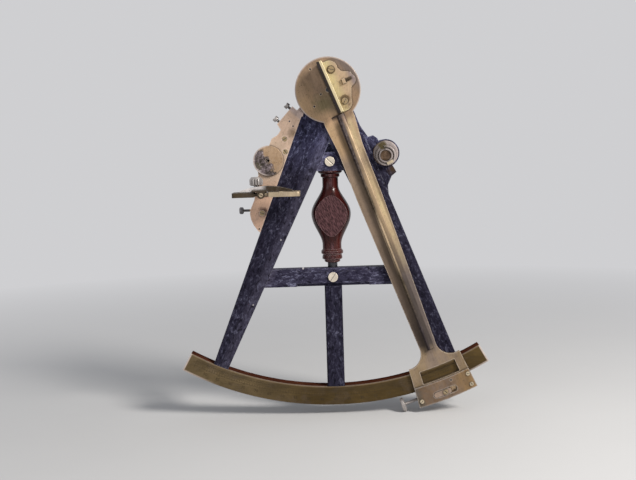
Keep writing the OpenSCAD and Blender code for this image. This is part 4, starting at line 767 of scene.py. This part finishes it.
def make_scale_marks():
    """Two lines along the arc, three divisions to a degree of reading, and a number at every fifth degree."""
    bm = bmesh.new()
    ends = (reading_angle(FIRST_READING), reading_angle(LAST_READING))
    for radius in ARC_LINES:
        add_strip(bm, (radius - 0.5 * MARK_WIDTH, radius + 0.5 * MARK_WIDTH), ends, 100, scale_front)
    for division in range(FIRST_READING * PER_DEGREE, LAST_READING * PER_DEGREE + 1):
        low = SHORT_TICK
        if division % PER_DEGREE == 0:
            low = DEGREE_TICK
        if division % (NUMBER_STEP * PER_DEGREE) == 0:
            low = NUMBER_TICK
        add_tick(bm, (TICK_TOP, low), reading_angle(division / PER_DEGREE), scale_front)
    for reading in range(0, LAST_NUMBER + 1, NUMBER_STEP):
        add_number(bm, str(reading), reading_angle(reading), NUMBER_RADIUS, NUMBER_HEIGHT)
    add_piece("scale_marks", bm, "frame", engraving("scale_engraving"))


BEVEL_TOP = (303.5 * MM, PIVOT.y - 3.4 * MM)
BEVEL_LOW = (306.7 * MM, PIVOT.y - 1.5 * MM)
VERNIER_DIVISIONS = 20
VERNIER_SPAN = radians(3.5)
VERNIER_LONG = 304.0 * MM
VERNIER_SHORT = 304.7 * MM
VERNIER_LOW = 306.4 * MM


def bevel_front(radius):
    share = (radius - BEVEL_TOP[0]) / (BEVEL_LOW[0] - BEVEL_TOP[0])
    return BEVEL_TOP[1] + share * (BEVEL_LOW[1] - BEVEL_TOP[1])


def make_vernier_marks():
    """Twenty divisions on the vernier's bevelled edge, every fifth one longer."""
    bm = bmesh.new()
    for mark in range(VERNIER_DIVISIONS + 1):
        top = VERNIER_LONG if mark % 5 == 0 else VERNIER_SHORT
        angle = ZERO_ANGLE + VERNIER_SPAN * (0.5 - mark / VERNIER_DIVISIONS)
        add_tick(bm, (top, VERNIER_LOW), angle, bevel_front)
    add_piece("vernier_marks", bm, "index_arm", engraving("vernier_engraving"))


make_scale_marks()
make_vernier_marks()


# Stage, light and camera

BACKDROP = (0.80, 0.80, 0.82)
BACKDROP_STRENGTH = 0.78
FLOOR_HALF = 6.0
FLOOR_FADE = (0.25, 1.3)
LIGHT_TARGET = (0.0, 0.0, 0.24)


def make_stage():
    """A pale floor that takes the shadow near the object and runs into the backdrop's tone further off."""
    mesh = bpy.data.meshes.new("floor")
    corners = [(x * FLOOR_HALF, y * FLOOR_HALF, 0.0) for x, y in ((-1, -1), (1, -1), (1, 1), (-1, 1))]
    mesh.from_pydata(corners, [], [(0, 1, 2, 3)])
    floor = bpy.data.objects.new("floor", mesh)
    bpy.context.scene.collection.objects.link(floor)
    g = Graph("pale_floor")
    tone = g.noise(g.coords(), 6.0)
    g.surface(Base_Color=g.mix(tone, (0.54, 0.535, 0.535), (0.57, 0.565, 0.565)), Roughness=0.85)
    g.surface(Specular_IOR_Level=0.1)
    far = g.vector_math("LENGTH", g.place.outputs["Object"], (0.0, 0.0, 0.0), "Value")
    path = g.tree.nodes.new("ShaderNodeLightPath")
    seen = g.math("MAXIMUM", path.outputs["Is Camera Ray"], path.outputs["Is Glossy Ray"])
    seen = g.math("MAXIMUM", seen, path.outputs["Is Transmission Ray"])
    glow = g.tree.nodes.new("ShaderNodeEmission")
    glow.inputs["Color"].default_value = (*BACKDROP, 1.0)
    glow.inputs["Strength"].default_value = BACKDROP_STRENGTH
    both = g.tree.nodes.new("ShaderNodeMixShader")
    g.put(both.inputs[0], g.times(seen, g.ramp(far, *FLOOR_FADE)))
    g.put(both.inputs[1], g.shader.outputs["BSDF"])
    g.put(both.inputs[2], glow.outputs["Emission"])
    output = g.tree.nodes["Material Output"]
    g.put(output.inputs["Surface"], both.outputs["Shader"])
    mesh.materials.append(g.material)


def area_light(name, place, target, size, power, colour):
    data = bpy.data.lights.new(name, "AREA")
    data.shape = "DISK"
    data.size = size
    data.energy = power
    data.color = colour
    light = bpy.data.objects.new(name, data)
    light.location = place
    light.rotation_euler = (Vector(target) - Vector(place)).to_track_quat("-Z", "Y").to_euler()
    bpy.context.scene.collection.objects.link(light)


def make_world():
    """A pale backdrop for what the camera and the metal see, and a lower level of light from all sides."""
    world = bpy.data.worlds.new("studio")
    world.use_nodes = True
    tree = world.node_tree
    tree.nodes.clear()
    path = tree.nodes.new("ShaderNodeLightPath")
    seen = tree.nodes.new("ShaderNodeBackground")
    seen.inputs["Color"].default_value = (*BACKDROP, 1.0)
    seen.inputs["Strength"].default_value = BACKDROP_STRENGTH
    light = tree.nodes.new("ShaderNodeBackground")
    light.inputs["Color"].default_value = (0.92, 0.95, 1.0, 1.0)
    light.inputs["Strength"].default_value = 0.42
    share = path.outputs["Is Camera Ray"]
    for name in ("Is Glossy Ray", "Is Transmission Ray"):
        either = tree.nodes.new("ShaderNodeMath")
        either.operation = "MAXIMUM"
        tree.links.new(share, either.inputs[0])
        tree.links.new(path.outputs[name], either.inputs[1])
        share = either.outputs["Value"]
    both = tree.nodes.new("ShaderNodeMixShader")
    tree.links.new(share, both.inputs[0])
    tree.links.new(light.outputs["Background"], both.inputs[1])
    tree.links.new(seen.outputs["Background"], both.inputs[2])
    output = tree.nodes.new("ShaderNodeOutputWorld")
    tree.links.new(both.outputs["Shader"], output.inputs["Surface"])
    bpy.context.scene.world = world


def make_light():
    make_world()
    area_light("key", (0.95, -0.85, 1.05), LIGHT_TARGET, size=0.5, power=30.0, colour=(1.0, 0.97, 0.92))
    area_light("fill", (-1.2, -1.4, 0.7), LIGHT_TARGET, size=1.2, power=4.0, colour=(0.93, 0.95, 1.0))


# Camera: one photo pixel is one millimetre at the frame's front
IMAGE_WIDTH = 636
FOCAL_PIXELS = 1000.0
SENSOR = 36.0
CAMERA_PLACE = Vector((-14.3, -1013.5, -58.6)) * MM + PIVOT
CAMERA_PITCH = radians(5.2)
CAMERA_ROLL = radians(1.75)


def make_camera():
    data = bpy.data.cameras.new("photo_camera")
    data.sensor_width = SENSOR
    data.lens = SENSOR * FOCAL_PIXELS / IMAGE_WIDTH
    data.clip_start = 0.05
    camera = bpy.data.objects.new("photo_camera", data)
    ahead = Vector((0.0, cos(CAMERA_PITCH), -sin(CAMERA_PITCH)))
    level_up = Vector((0.0, sin(CAMERA_PITCH), cos(CAMERA_PITCH)))
    level_right = Vector((1.0, 0.0, 0.0))
    right = cos(CAMERA_ROLL) * level_right - sin(CAMERA_ROLL) * level_up
    up = sin(CAMERA_ROLL) * level_right + cos(CAMERA_ROLL) * level_up
    turn = Matrix((right, up, -ahead)).transposed()
    camera.matrix_world = Matrix.Translation(CAMERA_PLACE) @ turn.to_4x4()
    bpy.context.scene.collection.objects.link(camera)
    bpy.context.scene.camera = camera


make_stage()
make_light()
make_camera()
bpy.context.scene.view_settings.view_transform = "Standard"
